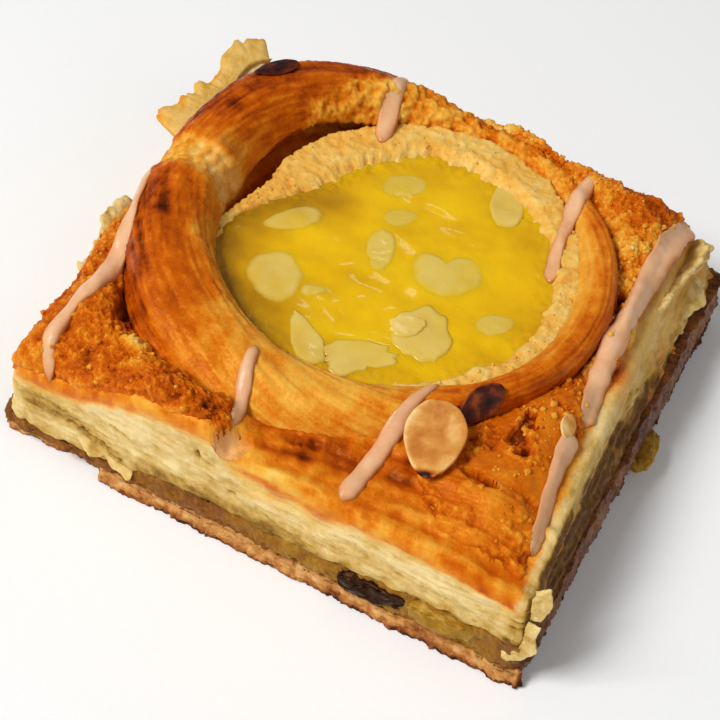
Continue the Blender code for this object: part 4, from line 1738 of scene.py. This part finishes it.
@dataclass(frozen=True)
class StreuselHeap:
    """One heap of streusel in a corner of the slab, or a low swelling of glazed crust with a little on it."""

    node: str
    first: float
    last: float
    height: float
    bake: float
    patches: tuple[Patch, ...] = ()
    sprinkled: float = 1.0
    inset: float = 0.8
    seed: int = 0
    columns_per_degree: float = 4.4
    rows: int = 100
    sunk: float = 1.4

    def shape(self) -> Skin:
        """Build the heap with its crumbs' relief.

        Returns:
            Its skin.
        """
        columns, rows = int((self.last - self.first) * self.columns_per_degree), self.rows
        turn = np.radians(np.linspace(self.first, self.last, columns))[None, :]
        away = np.linspace(0, 1, rows)[:, None]
        turn, away = np.broadcast_arrays(turn, away)
        near = around(ROPE_STATIONS, turn, 2) - 0.4
        far = self.rim_distance(turn) - self.inset
        radius = near + np.maximum(far - near, 2.0) * away
        x, y = (part.ravel() for part in from_well(turn, radius))
        side = np.linspace(-1, 1, columns)[None, :] * np.ones_like(away)
        dome = ((1 - np.abs(2 * away - 1) ** 3.2) * (1 - np.abs(side) ** 4)).ravel()
        seat = crust_height(x, y)
        rough = np.stack([x, y, seat], axis=-1)
        slope = 1 + 0.30 * swell(rough, 11, 121 + self.seed)
        rise = self.height * dome * slope - self.sunk * ease(0.32, 0.0, dome) + folded(rough)
        skin = Skin(np.stack([x, y, seat + rise], axis=-1), [grid_quads(rows, columns)])
        relief, hollow_shade = granular(skin.points, 123 + self.seed)
        blotch = layered(skin.points, 7.0, 131 + self.seed, 3)
        covered = ease(-0.25, 0.15, blotch + 2 * self.sprinkled - 1)
        skin.push((relief * covered + 0.2 * covered) * ease(0.0, 0.25, dome))
        hole = press_holes(skin)
        skin.points[:, 2] -= self.sunk * ease(0.0, 0.12, hole)
        # Painted shade: darker in the hollows between crumbs and in the grooves of the folds.
        bake = self.bake + hollow_shade * covered + 0.12 * blotch - 0.10 * folded(rough)
        bake += sum(patch.at(x, y) for patch in self.patches) - 0.10 * covered * (self.sprinkled < 1)
        # Painted shade: holes are painted near black.
        bake = np.maximum(bake, 0.9 * ease(0.12, 0.45, hole))
        skin.paint(bake=bake, crumb=0, wet=0, dry=0.04 + 0.22 * covered)
        return skin

    def rim_distance(self, turn: Array) -> Array:
        """Measure from the middle of the well to the slab's rim.

        Args:
            turn: Azimuths in radians.

        Returns:
            The distance at each azimuth.
        """
        reach = np.full(turn.shape, 1e3)
        corners = np.array(RIM_CORNERS, float)
        for start, end in zip(corners, np.roll(corners, -1, axis=0)):
            edge, gap = end - start, start - WELL
            across = np.cos(turn) * edge[1] - np.sin(turn) * edge[0]
            distance = (gap[0] * edge[1] - gap[1] * edge[0]) / np.where(np.abs(across) < 1e-9, 1e-9, across)
            reach = np.where((distance > 0) & (distance < reach), distance, reach)
        return reach

    def build(self) -> Skin:
        """Make the heap, which stands for its CAD node.

        Returns:
            Its skin, for the loose grains.
        """
        skin = self.shape()
        finish = Streusel() if self.sprinkled == 1 else BakedDough()
        skin.piece(f"{self.node}_heap", finish, "streusel", self.node)
        return skin


HEAPS = (
    StreuselHeap(
        "streusel_back", first=-16, last=92, height=4.6, bake=0.38, inset=2.6,
        patches=(
            Patch(40, 42, 9, 6, 0.22), Patch(30, 47, 12, 3, 0.18), Patch(46, 14, 5, 18, -0.14),
            Patch(10, 47, 10, 4, 0.10), Patch(44, -8, 4, 6, 0.10), Patch(46.6, 2.2, 2.8, 4.4, 0.46, -12),
        ),
    ),
    StreuselHeap(
        "streusel_left", first=184, last=268, height=4.0, bake=0.55, seed=3,
        patches=(Patch(-38, -44, 5, 4, 0.06), Patch(-46, -20, 4, 8, 0.05), Patch(-28, -38, 8, 5, -0.12)),
    ),
    StreuselHeap(
        "streusel_front", first=300, last=346, height=2.6, bake=0.56, sprinkled=0.42, inset=4.4, seed=6,
        patches=(Patch(30, -38, 6, 4, 0.10), Patch(33, -22, 4, 8, 0.08)),
    ),
)


def crumb_template(level: int, seed: int) -> tuple[Array, Array]:
    """Build one irregular crumb of about unit radius.

    Args:
        level: How fine it is.
        seed: Which draw to use.

    Returns:
        Its points and its triangles.
    """
    points, faces = ball(level)
    uneven = 1 + 0.42 * swell(points + seed * 11.0, 0.9, 141) + 0.16 * swell(points + seed * 5.0, 0.4, 143)
    squash = 0.7 + 0.6 * np.random.default_rng(seed).random(3)
    return np.clip(points * uneven[:, None] * squash, -0.66, 0.72), faces


@dataclass(frozen=True)
class Crumbs:
    """A scatter of loose crumbs of one kind, joined into one piece."""

    name: str
    finish: Finish
    slot: str
    smallest: float
    largest: float
    level: int = 2
    seed: int = 0

    def build(self, places: list[tuple[Skin, Array, int, float]]) -> None:
        """Make the scatter.

        Args:
            places: For each surface, its skin, a share of crumbs at each of its points, how many crumbs
                it takes, and how much further than the surface they are toasted.
        """
        rng = np.random.default_rng(self.seed)
        templates = [crumb_template(self.level, self.seed + n) for n in range(5)]
        all_points, all_faces, all_bake, start = [], [], [], 0
        for skin, share, count, bake in places:
            chance = np.clip(share, 0, None)
            picked = rng.choice(len(skin.points), count, p=chance / chance.sum())
            normals = skin.normals()
            for index in picked:
                points, faces = templates[rng.integers(len(templates))]
                size = self.smallest + (self.largest - self.smallest) * rng.random() ** 2.2
                turn = np.array(Matrix.Rotation(rng.random() * math.tau, 3, Vector(rng.normal(size=3))))
                centre = skin.points[index] - normals[index] * size * 0.06 + rng.normal(size=3) * 0.1
                all_points.append(centre + points @ turn.T * size / 2)
                all_faces.append(faces + start)
                # Each crumb takes the bake shade of the spot it lies on, painted shade there included.
                all_bake.append(np.full(len(points), skin.shades["bake"][index] + bake + 0.08 * rng.normal()))
                start += len(points)
        shades = {"bake": np.clip(np.concatenate(all_bake), 0, 1)}
        for name in ("crumb", "wet", "dry"):
            shades[name] = np.full(start, 0.1)
        skin = Skin(np.concatenate(all_points), [np.concatenate(all_faces)], shades)
        skin.piece(self.name, self.finish, self.slot, smooth=False)


# Icing


@dataclass(frozen=True)
class IcingThread:
    """One thread of water icing that was dragged across the pastry and sagged on to it."""

    name: str
    stations: Stations  # x, y, width and thickness
    across: int = 17
    step: float = 0.4

    def shape(self, surface: Surface) -> Skin:
        """Lay the thread on the surface.

        Args:
            surface: What it lies on.

        Returns:
            Its skin, closed underneath.
        """
        path = smooth_path(self.stations, self.step)
        count = len(path)
        heading = np.gradient(path[:, :2], axis=0)
        heading /= np.maximum(np.linalg.norm(heading, axis=1, keepdims=True), 1e-9)
        side = np.stack([-heading[:, 1], heading[:, 0]], axis=-1)
        place = np.linspace(0, 1, count)
        length = count * self.step
        taper = np.sqrt(np.clip(np.minimum(place, 1 - place) * length / 1.6, 0.02, 1))
        rough = flat(path[:, 0], path[:, 1])
        width = path[:, 2] * taper * (1 + 0.20 * layered(rough, 5.0, 151, 2))
        offset = np.linspace(-1, 1, self.across)
        plan = path[:, None, :2] + side[:, None, :] * (offset[None, :, None] * width[:, None, None] / 2)
        ground = np.array([[surface.height(x, y) for x, y in row] for row in plan])
        ground = np.maximum(ground, ground.max(axis=1, keepdims=True) - 2.4)
        kernel = np.hanning(27)
        kernel /= kernel.sum()
        padded = np.pad(ground, ((13, 13), (0, 0)), mode="edge")
        calm = np.stack([np.convolve(padded[:, k], kernel, "valid") for k in range(self.across)], axis=-1)
        arched = np.polynomial.polynomial.polyfit(offset, calm.T, 2)
        calm = 0.35 * calm + 0.65 * np.polynomial.polynomial.polyval(offset, arched)
        round_share = np.sqrt(np.clip(1 - offset**2, 0, 1))[None, :]
        thick = path[:, 3:4] * taper[:, None] * (1 + 0.18 * swell(rough, 3.5, 153))[:, None]
        upper = calm + thick * round_share**0.7 + 0.15 * round_share - 0.1
        lower = np.minimum(ground, upper) - 0.6
        up = np.concatenate([plan, upper[..., None]], axis=-1)
        down = np.concatenate([plan, lower[..., None]], axis=-1)[:, ::-1]
        ring = np.concatenate([up, down], axis=1)
        body = thick * round_share
        shown = np.concatenate([body, body[:, ::-1]], axis=1).ravel() * 0.62
        return Skin(ring.reshape(-1, 3), tube(count, ring.shape[1]), {"thick": np.clip(shown, 0, 1)})

    def build(self, surface: Surface) -> None:
        """Make the thread."""
        self.shape(surface).piece(self.name, SugarIcing(), "custard")


ICING = (
    IcingThread("icing_left", (
        (-43.6, -48.4, 2.1, 0.72), (-46.2, -44.6, 3.0, 0.94), (-46.6, -36, 3.5, 1.01),
        (-45.6, -27, 4.8, 1.01), (-46.6, -19, 3.7, 0.94), (-48.6, -11, 2.4, 0.79),
        (-51.4, 1, 2.1, 0.72), (-53.2, 12, 1.9, 0.65), (-54.4, 22.5, 1.8, 0.58),
    )),
    IcingThread("icing_front_left", (
        (-11.6, -29.4, 2.1, 0.72), (-10.6, -34.6, 2.9, 1.15), (-8.6, -40, 2.6, 1.01),
        (-7, -45.6, 1.9, 0.65),
    )),
    IcingThread("icing_front_right", (
        (15.6, -48.0, 3.4, 1.0), (16.0, -45, 3.7, 1.1), (16.4, -41.6, 3.8, 1.08),
        (17, -37.4, 3.5, 1.01), (17.6, -31, 3.7, 1.01), (18.8, -25, 2.6, 0.79),
        (20.4, -19.4, 1.6, 0.58),
    )),
    IcingThread("icing_back_left", (
        (-19.2, 50, 2.1, 0.72), (-19.2, 45.6, 3.5, 1.01), (-18.6, 40, 4.0, 1.08), (-17.4, 34.4, 2.7, 0.72),
    )),
    IcingThread("icing_back_right", (
        (26, 49.2, 2.4, 0.79), (25.4, 43, 3.0, 0.94), (25.2, 37, 4.2, 1.22), (25.8, 31.6, 2.9, 0.94),
        (26.4, 24, 2.7, 0.86), (28.4, 16, 2.4, 0.79),
    )),
    IcingThread("icing_right", (
        (47.4, 47.4, 3.5, 0.86), (46, 38, 5.0, 1.08), (45.2, 28, 4.5, 1.08), (45, 18, 4.0, 1.01),
        (44.8, 8, 4.6, 1.08), (45.2, -1, 4.3, 1.08), (46, -7, 4.0, 1.08), (46.8, -12.4, 2.7, 0.86),
    )),
    IcingThread("icing_right_front", (
        (46, -16.4, 3.7, 1.01), (46, -22, 3.4, 1.01), (46.8, -29, 2.6, 0.86), (47.8, -35, 2.7, 0.86),
        (48.8, -42, 1.8, 0.65),
    )),
)


# Torn layers


TOASTED_TIP = 0.15  # a leaf whose tip is baked further than this is toasted, the others are bare crumb


@dataclass(frozen=True)
class TornEdge:
    """A ragged leaf of dough that was torn loose along an edge.

    Each station holds a place on the leaf's root and how far its tip lies from there, along X, Y and Z.
    """

    stations: Stations
    thickness: float = 1.3
    ragged: float = 0.45
    bake: float = 0.04
    tip: float = 0.1
    seed: int = 0
    crinkle: float = 0.45
    angular: bool = False
    rows: int = 18

    def outline(self) -> Array:
        """Lay out the root: straight from station to station, or in a smooth run.

        Returns:
            Places on the root, each with its reach.
        """
        if not self.angular:
            return smooth_path(self.stations, 0.35, 3)
        table = np.array(self.stations, float)
        at = np.linspace(0, len(table) - 1, 14 * len(table))
        return np.stack([np.interp(at, np.arange(len(table)), column) for column in table.T], axis=-1)

    def shape(self) -> Skin:
        """Build the leaf.

        Returns:
            Its skin, closed all round.
        """
        path = self.outline()
        count, rows = len(path), self.rows
        root, offset = path[:, :3], path[:, 3:]
        place = np.linspace(0, 1, count)
        rough = root + self.seed * 17.0
        wide, narrow = layered(rough, 4.2, 161, 2), np.abs(layered(rough, 2.2, 163, 2))
        reach = 1 + self.ragged * (wide + 0.45 * narrow - 0.15)
        steps = ease(-0.06, 0.06, layered(rough, 6.0, 164, 2)) - 0.5
        reach = reach + 0.7 * self.ragged * steps
        reach = np.clip(reach, 0.3, 1.7) * (0.15 + 0.85 * ease(0, 0.06, place) * ease(1, 0.94, place))
        t = np.linspace(0, 1, rows)[None, :, None]
        sheet = root[:, None, :] + offset[:, None, :] * t * reach[:, None, None]
        facing = np.cross(np.gradient(root, axis=0), offset)
        facing /= np.maximum(np.linalg.norm(facing, axis=1, keepdims=True), 1e-9)
        crinkle = layered(sheet.reshape(-1, 3) + self.seed * 9.0, 2.4, 165, 4).reshape(count, rows)
        sheet = sheet + facing[:, None, :] * (self.crinkle * crinkle * t[..., 0])[..., None]
        body = self.thickness / 2 * (1 - 0.75 * t**2) * facing[:, None, :]
        ring = np.concatenate([sheet + body, (sheet - body)[:, ::-1]], axis=1)
        skin = Skin(ring.reshape(-1, 3), tube(count, 2 * rows))
        skin.push(0.12 * layered(skin.points, 1.0, 167, 2))
        out = np.tile(np.concatenate([t.ravel(), t.ravel()[::-1]]), count)
        spots = swell(skin.points, 3.5, 169)
        browned = ease(0.8, 1.25, out + 0.45 * spots) * (self.tip > TOASTED_TIP)
        crumb = (1 - 0.85 * browned) * (0.4 if self.tip > TOASTED_TIP else 0.9)
        wet = 0.32 - 0.12 * out + 0.34 * layered(skin.points, 2.6, 171, 3)
        skin.paint(bake=self.bake + (self.tip - self.bake) * browned, crumb=crumb, wet=wet, dry=0.28)
        return skin


TORN_EDGES = (
    # Back left corner, where the neighbouring piece pulled the outer leaves away
    TornEdge((
        (-50.6, 13.0, 26.0, -5.6, 1.5, 1.4), (-51.6, 18.0, 27.2, -8.4, 0.6, 1.6),
        (-52.0, 22.0, 27.8, -6.4, 0.6, 1.4), (-52.4, 28.0, 28.2, -5.4, 0.4, 1.4),
        (-52.8, 36.0, 28.4, -4.0, 0.6, 1.2), (-52.8, 38.6, 28.6, -4.4, 3.0, 1.2),
        (-52.4, 41.4, 28.6, -5.2, 5.6, 1.2), (-51.4, 44.2, 28.2, -3.0, 6.2, 0.6),
        (-50.4, 46.4, 27.6, -0.8, 2.0, 0.2),
    ), thickness=3.2, ragged=0.3, bake=0.12, tip=0.36, seed=1, crinkle=0.35),
    # Left side
    TornEdge((
        (-52.4, -24.0, 22.0, -2.4, 0.0, 1.0), (-52.8, -14.0, 23.0, -3.0, 1.0, 2.0),
        (-53.4, -3.0, 23.5, -2.6, 1.0, 1.4),
    ), thickness=2.0, ragged=0.5, seed=3),
    # Front side: the flap low at the left
    TornEdge((
        (-38.6, -48.8, 10.6, -0.2, -0.8, -0.8), (-35.0, -48.8, 9.4, 0.4, -2.0, -1.4),
        (-31.0, -48.8, 8.4, 0.8, -2.6, -1.6), (-28.0, -48.9, 8.0, 1.8, -2.0, -1.6),
        (-26.4, -49.0, 8.0, 0.6, -0.6, -0.4),
    ), thickness=1.0, ragged=0.4, seed=4),
    # Front right corner: smooth plates that stand out sideways
    TornEdge((
        (52.4, -49.8, 25.6, 0.3, 0.2, 0.4), (52.3, -50.0, 24.2, 2.6, 0.6, 4.2),
        (52.5, -50.2, 22.4, 3.2, 0.4, 1.2), (52.8, -50.4, 20.6, 2.0, 0.0, -1.4),
        (52.9, -50.6, 19.2, 0.5, 0.0, -0.4),
    ), thickness=1.0, ragged=0.14, bake=0.02, tip=0.06, seed=6, crinkle=0.12, angular=True),
    TornEdge((
        (52.6, -50.6, 17.4, 0.6, 0.0, 0.6), (52.6, -50.7, 16.4, 2.8, -0.2, 1.8),
        (52.8, -50.8, 14.4, 2.2, -0.4, 0.2), (52.8, -51.0, 12.0, 2.7, -0.4, -0.8),
        (52.4, -51.2, 9.8, 1.2, -0.6, -2.4), (51.0, -51.4, 8.2, 0.2, -0.8, -2.0),
        (49.6, -51.5, 7.6, 0.0, -0.5, -0.8),
    ), thickness=1.0, ragged=0.14, bake=0.02, tip=0.06, seed=7, crinkle=0.12, angular=True),
    # Right side towards the back: a rolled lip, a thin leaf at the corner and ragged ends below
    TornEdge((
        (47.0, 12.0, 20.6, 0.8, 0.0, 2.0), (47.2, 20.0, 20.0, 1.4, 0.0, 3.4),
        (47.8, 28.0, 20.0, 2.0, 0.0, 3.6), (48.8, 36.0, 20.0, 2.4, 0.0, 3.8),
        (49.6, 43.0, 20.6, 2.4, 0.6, 3.6), (49.0, 48.0, 21.0, 1.6, 1.6, 2.4),
    ), thickness=2.4, ragged=0.3, bake=0.03, tip=0.08, seed=8),
    TornEdge((
        (49.4, 38.0, 20.4, 2.4, 0.4, 1.0), (49.4, 43.0, 20.6, 4.0, 1.0, 1.2),
        (48.8, 47.4, 20.8, 3.4, 2.0, 0.6),
    ), thickness=1.6, ragged=0.3, bake=0.02, tip=0.06, seed=9),
    TornEdge((
        (50.4, 16.0, 16.0, 2.4, 0.0, -3.2), (50.4, 22.0, 16.6, 3.4, 0.0, -3.6),
        (50.6, 29.0, 17.0, 3.6, 0.4, -1.6), (50.4, 36.0, 17.4, 4.6, 0.6, -0.8),
        (50.0, 43.0, 17.6, 3.6, 1.0, -1.0),
    ), thickness=2.2, ragged=0.4, bake=0.03, tip=0.08, seed=10),
)


@dataclass
class TornEdges:
    """All the torn leaves, as one piece."""

    edges: tuple[TornEdge, ...] = TORN_EDGES

    def build(self) -> None:
        """Make the piece."""
        skin = reduce(Skin.joined, [edge.shape() for edge in self.edges])
        skin.piece("torn_leaves", BakedDough(), "dough")


# Base and filling


@dataclass
class LayeredEdge:
    """What the base and the filling share: a flat layer whose edge is built row by row and capped."""

    corners: Outline
    columns: int = 250
    rows: int = 226
    rounding: float = 0.05

    def ring(self) -> tuple[Array, Array]:
        """Lay out the edge.

        Returns:
            Its plan points and their outward directions.
        """
        u, v = cut_corners(*perimeter(self.columns, self.rows), self.rounding)
        plan = in_corners(self.corners, u, v)
        ahead = np.roll(plan, -3, axis=0) - np.roll(plan, 3, axis=0)
        outward = np.stack([ahead[:, 1], -ahead[:, 0]], axis=-1)
        return plan, outward / np.linalg.norm(outward, axis=1, keepdims=True)

    def loft(self, profile: list[tuple[Array | float, Array | float]]) -> Skin:
        """Join rings of points, each moved outwards and set at its own height, and cap both ends.

        Args:
            profile: From the lowest ring to the highest, how far out it lies and its height.

        Returns:
            A closed skin.
        """
        plan, outward = self.ring()
        count = len(plan)
        rings = []
        for out, height in profile:
            edge = plan + outward * np.broadcast_to(out, count)[:, None]
            rings.append(np.column_stack([edge, np.broadcast_to(height, count)]))
        return Skin(np.concatenate(rings), [group[:, ::-1] for group in tube(len(rings), count)])


@dataclass
class BakedBaseSheet(LayeredEdge):
    """Thin baked base with a broken, flaky edge and a gritty brown underside."""

    corners: Outline = BASE_CORNERS

    def build(self) -> None:
        """Make the base, which stands for the CAD base."""
        plan, outward = self.ring()
        rough = flat(*plan.T)
        front = outward[:, 1] < -0.5
        ragged = 0.40 * layered(rough, 9.0, 171, 3) + 0.20 * layered(rough, 1.6, 173, 3)
        notch = front * (1.3 * ease(-34.6, -33.4, plan[:, 0]) - 1.0 * hill(plan[:, 0], -40, 5))
        ragged = ragged + notch - 1.1
        flaked = 0.5 * ease(-0.1, 0.3, layered(rough, (3.2, 3.2, 9), 175, 4))
        split = 0.4 * ease(-34.0, -32.5, plan[:, 0]) * front
        lift = 0.5 * np.clip(layered(rough, 9.0, 177, 2), 0, 1)
        profile: list[tuple[Array | float, Array | float]] = [(-4.0, 0.0)]
        for height in np.linspace(0.0, BASE_TOP, 14):
            share = height / BASE_TOP
            lower = ease(0.55, 0.35, share)
            worn = 0.5 * (1 - math.sin(math.pi * min(share + 0.22, 1)))
            out = ragged - flaked * lower * 0.8 + split * lower - worn
            out = out + 0.26 * layered(rough + (0, 0, height * 3), (5.0, 5.0, 1.6), 179, 4)
            profile.append((out, height + lift * share))
        for inwards in (0.5, 1.0, 1.6, 2.3, 3.1, 4.2, 6.0):
            fine = 0.16 * layered(rough + (0, 0, inwards), 1.6, 181, 3)
            profile.append((ragged - inwards, BASE_TOP + lift + fine))
        skin = self.loft(profile)
        grit = pebbled(skin.points, 0.9, 183)
        bands = layered(skin.points, (9, 9, 0.7), 185, 3)
        under = ease(1.5, 0.2, skin.points[:, 2])
        crumbly = layered(skin.points, 1.4, 189, 4)
        skin.push(0.10 * bands + (0.16 + 0.30 * under) * (grit - 0.4) + 0.26 * crumbly)
        skin.points[:, 2] = np.maximum(skin.points[:, 2], 0.0)
        x, y, z = skin.points.T
        right = np.tile(Side.RIGHT.share(outward), len(profile))
        # Painted shade: the gaps between grit underneath and the hollows of the crumbly edge are painted
        # darker.
        bake = 0.48 + 0.26 * under + 0.12 * bands + 0.22 * (0.5 - grit) * under + 0.30 * right
        bake -= 0.12 * crumbly + 0.14 * ease(-34, -48, x) * ease(-40, -48, y)
        bake += 0.06 * ease(-10, 50, x) + 0.20 * layered(skin.points, 3.0, 187, 4)
        bake -= 0.16 * ease(1.2, 2.6, z) * (1 - right)
        skin.paint(bake=bake)
        skin.piece("baked_base", BakedBase(), "base_crust", "base_crust")


@dataclass
class FillingLayer(LayeredEdge):
    """Fruit filling that shows as a wet line between the base and the slab."""

    corners: Outline = FILLING_CORNERS

    def build(self) -> None:
        """Make the filling, which stands for the CAD filling."""
        plan, outward = self.ring()
        rough = flat(*plan.T)
        top = filling_top(plan[:, 0], plan[:, 1]) + 0.4
        profile: list[tuple[Array | float, Array | float]] = [(-5.0, BASE_TOP - 1.0), (-2.0, BASE_TOP - 1.0)]
        for share in np.linspace(0, 1, 17):
            bulge = 0.7 * math.sin(math.pi * share) + 0.1
            out = bulge + 0.55 * layered(rough + (0, 0, share * 7), (4.0, 4.0, 3.0), 191, 4)
            profile.append((out, BASE_TOP - 0.6 + (top - BASE_TOP + 0.6) * share))
        profile += [(-2.0, top), (-5.0, top)]
        skin = self.loft(profile)
        grain = pebbled(skin.points, 1.4, 193)
        nearest, _, draw = lumps(skin.points, (4.2, 4.2, 2.6), 195)
        pits = ease(0.4, 0.15, nearest) * (draw > 0.6)
        skin.push(0.42 * (grain - 0.4) + 0.4 * layered(skin.points, 3.0, 199, 3) - 0.6 * pits)
        x, y, _ = skin.points.T
        right = np.tile(Side.RIGHT.share(outward), len(profile))
        front = 1 - ease(-46, -40, y)
        # Painted shade: the gaps between grains are painted darker.
        syrup = 0.54 + 0.24 * layered(skin.points, 5.0, 197, 4) + 0.2 * (0.5 - grain)
        syrup -= 0.34 * front * ease(-20, 26, x) * ease(52, 46, x)
        syrup += 0.06 * front * ease(-10, -50, x) + 0.24 * right
        skin.paint(syrup=syrup)
        skin.piece("fruit_filling", FruitFilling(), "filling", "filling")


@dataclass(frozen=True)
class FruitPiece:
    """A raisin or a chunk of apple that shows in the filling: a blunt lump with wrinkles or facets."""

    node: str
    centre: Triple
    size: Triple
    finish: Finish
    slot: str
    wrinkle: float
    turn: float = 0.0

    def build(self) -> None:
        """Make the piece, which stands for its CAD node."""
        unit, faces = ball(5)
        blunt = np.sign(unit) * np.abs(unit) ** 0.72
        uneven = 1 + 0.20 * layered(unit * 4, 3.2, 201, 3)
        points = blunt * uneven[:, None] * np.array(self.size) / 2
        cos, sin = math.cos(math.radians(self.turn)), math.sin(math.radians(self.turn))
        spun = np.column_stack(
            [points[:, 0] * cos - points[:, 2] * sin, points[:, 1], points[:, 0] * sin + points[:, 2] * cos]
        )
        skin = Skin(np.array(self.centre) + spun, [faces])
        creases = 1 - np.abs(layered(points, (5.5, 2.4, 1.9), 203, 2)) * 2
        skin.push(-self.wrinkle * ease(0.55, 1.0, creases) + 0.3 * self.wrinkle * swell(points, 2.0, 205))
        skin.piece(f"{self.node}_piece", self.finish, self.slot, self.node)


FRUIT = (
    FruitPiece("raisin", (24.0, -50.2, 7.0), (13.4, 5.4, 5.2), RaisinSkin(), "raisin", 0.9, 2),
    FruitPiece("apple_chunk", (38.0, -50.1, 7.8), (13.4, 6.4, 5.6), CookedApple(), "apple", 0.35, 2),
    FruitPiece("apple_chunk_side", (56.4, 4.0, 5.2), (5.6, 9.4, 5.0), CookedApple(), "apple", 0.12),
)


# Studio


@dataclass(frozen=True)
class Lamp:
    """One square softbox that faces the pastry; its place and width are in metres, its power in watts."""

    name: str
    place: Triple
    width: float
    power: float

    def hang(self) -> None:
        """Put the lamp in the scene."""
        data = bpy.data.lights.new(self.name, "AREA")
        data.size = self.width
        data.energy = self.power
        lamp = bpy.data.objects.new(self.name, data)
        lamp.location = self.place
        lamp.rotation_euler = (-Vector(self.place)).to_track_quat("-Z", "Y").to_euler()
        bpy.context.scene.collection.objects.link(lamp)


@dataclass(frozen=True)
class Studio:
    """White paper, soft light from the front left, a small lamp behind for wet glints, and the camera."""

    azimuth: float = 22.0
    elevation: float = 49.0
    roll: float = 6.0
    distance: float = 295.0
    target: Triple = (0.2, -8.0, 12.0)
    lens: float = 75.0
    floor_radius: float = 1.6
    sky: float = 0.22
    lamps: tuple[Lamp, ...] = (
        Lamp("key_softbox", (-0.70, -0.72, 1.22), 0.6, 21.0),
        Lamp("back_lamp", (-0.37, 0.91, 1.13), 0.06, 0.06),
        Lamp("fill_softbox", (1.10, -0.50, 1.10), 0.9, 3.6),
    )

    def place_camera(self) -> None:
        """Aim the camera at the pastry from the front right above."""
        turn, rise, roll = (math.radians(angle) for angle in (self.azimuth, self.elevation, self.roll))
        back = Vector((math.sin(turn) * math.cos(rise), -math.cos(turn) * math.cos(rise), math.sin(rise)))
        right = (-back).cross(Vector((0, 0, 1))).normalized()
        up = right.cross(-back)
        right_rolled = right * math.cos(roll) + up * math.sin(roll)
        up_rolled = up * math.cos(roll) - right * math.sin(roll)
        place = (Vector(self.target) + back * self.distance) * MM
        data = bpy.data.cameras.new("camera")
        data.lens = self.lens
        data.sensor_width = 36.0
        data.clip_start = 0.01
        camera = bpy.data.objects.new("camera", data)
        basis = Matrix((right_rolled, up_rolled, back)).transposed().to_4x4()
        camera.matrix_world = Matrix.Translation(place) @ basis
        bpy.context.scene.collection.objects.link(camera)
        bpy.context.scene.camera = camera

    def lay_floor(self) -> None:
        """Lay the paper the pastry stands on."""
        mesh = bpy.data.meshes.new("studio_floor")
        cage = bmesh.new()
        bmesh.ops.create_circle(cage, cap_ends=True, segments=96, radius=self.floor_radius)
        cage.to_mesh(mesh)
        cage.free()
        mesh.materials.append(StudioFloor().material())
        floor = bpy.data.objects.new("studio_floor", mesh)
        bpy.context.scene.collection.objects.link(floor)

    def build(self) -> None:
        """Set up the whole studio."""
        self.place_camera()
        self.lay_floor()
        for lamp in self.lamps:
            lamp.hang()
        world = bpy.data.worlds.new("studio_world")
        world.use_nodes = True
        background = world.node_tree.nodes["Background"]
        background.inputs["Color"].default_value = (1.0, 1.0, 1.0, 1.0)
        background.inputs["Strength"].default_value = self.sky
        bpy.context.scene.world = world
        bpy.context.scene.view_settings.view_transform = "Standard"


# Assembly


def lay_crumbs(slab: Skin, pool: CustardPool, heaps: list[Skin]) -> None:
    """Scatter the loose crumbs and the sugar.

    Args:
        slab: The skin of the slab of dough.
        pool: The custard pool, with its crumb rim.
        heaps: The skins of the streusel heaps, from the back round to the front.
    """
    open_faces = [ease(0.2, 0.6, skin.normals()[:, 2]) for skin in heaps]
    crumbs = Crumbs("streusel_crumbs", Streusel(), "streusel", 0.35, 1.3, seed=5)
    parts = zip(heaps, open_faces, (340, 270, 80))
    crumbs.build([(skin, share, count, -0.08) for skin, share, count in parts])
    x, y, _ = slab.points.T
    broken = Patch(39.5, -21.0, 4.0, 9.0, 1.0).at(x, y) * (slab.normals()[:, 2] > 0.3)
    broken = broken * ease(-0.1, 0.3, layered(slab.points, 4.0, 211, 2))
    lumpy = Crumbs("crust_crumbs", Streusel(), "dough", 0.5, 1.9, seed=17)
    right_end = open_faces[-1] * (heaps[-1].points[:, 0] > 36)
    lumpy.build([(slab, broken, 110, -0.24), (heaps[-1], right_end, 60, -0.16)])
    rim_share = ease(0.3, 0.7, pool.rim.normals()[:, 2])
    Crumbs("rim_crumbs", BakedDough(), "dough", 0.3, 1.0, seed=9).build([(pool.rim, rim_share, 260, 0.0)])
    sugar = Crumbs("sugar_grains", SugarGrain(), "streusel", 0.15, 0.42, level=1, seed=13)
    parts = zip(heaps, open_faces, (300, 260, 120))
    sugar.build([(skin, share, count, 0.2) for skin, share, count in parts])


def main() -> None:
    """Build every piece in order, from the bottom up."""
    BakedBaseSheet().build()
    FillingLayer().build()
    for fruit in FRUIT:
        fruit.build()
    slab = DoughSlab()
    slab.build()
    rope = DoughRope()
    rope.build()
    pool = CustardPool()
    pool.build()
    SunkAlmonds().build()
    heaps = [heap.build() for heap in HEAPS]
    surface = Surface([skin.tree() for skin in (slab.skin, rope.skin, pool.skin, pool.rim, *heaps)])
    for almond in LOOSE_ALMONDS:
        almond.build(surface)
    TornEdges().build()
    lay_crumbs(slab.skin, pool, heaps)
    for thread in ICING:
        thread.build(surface)
    Studio().build()


if __name__ == "__main__":
    logging.basicConfig(level=logging.INFO, format="%(message)s")
    main()
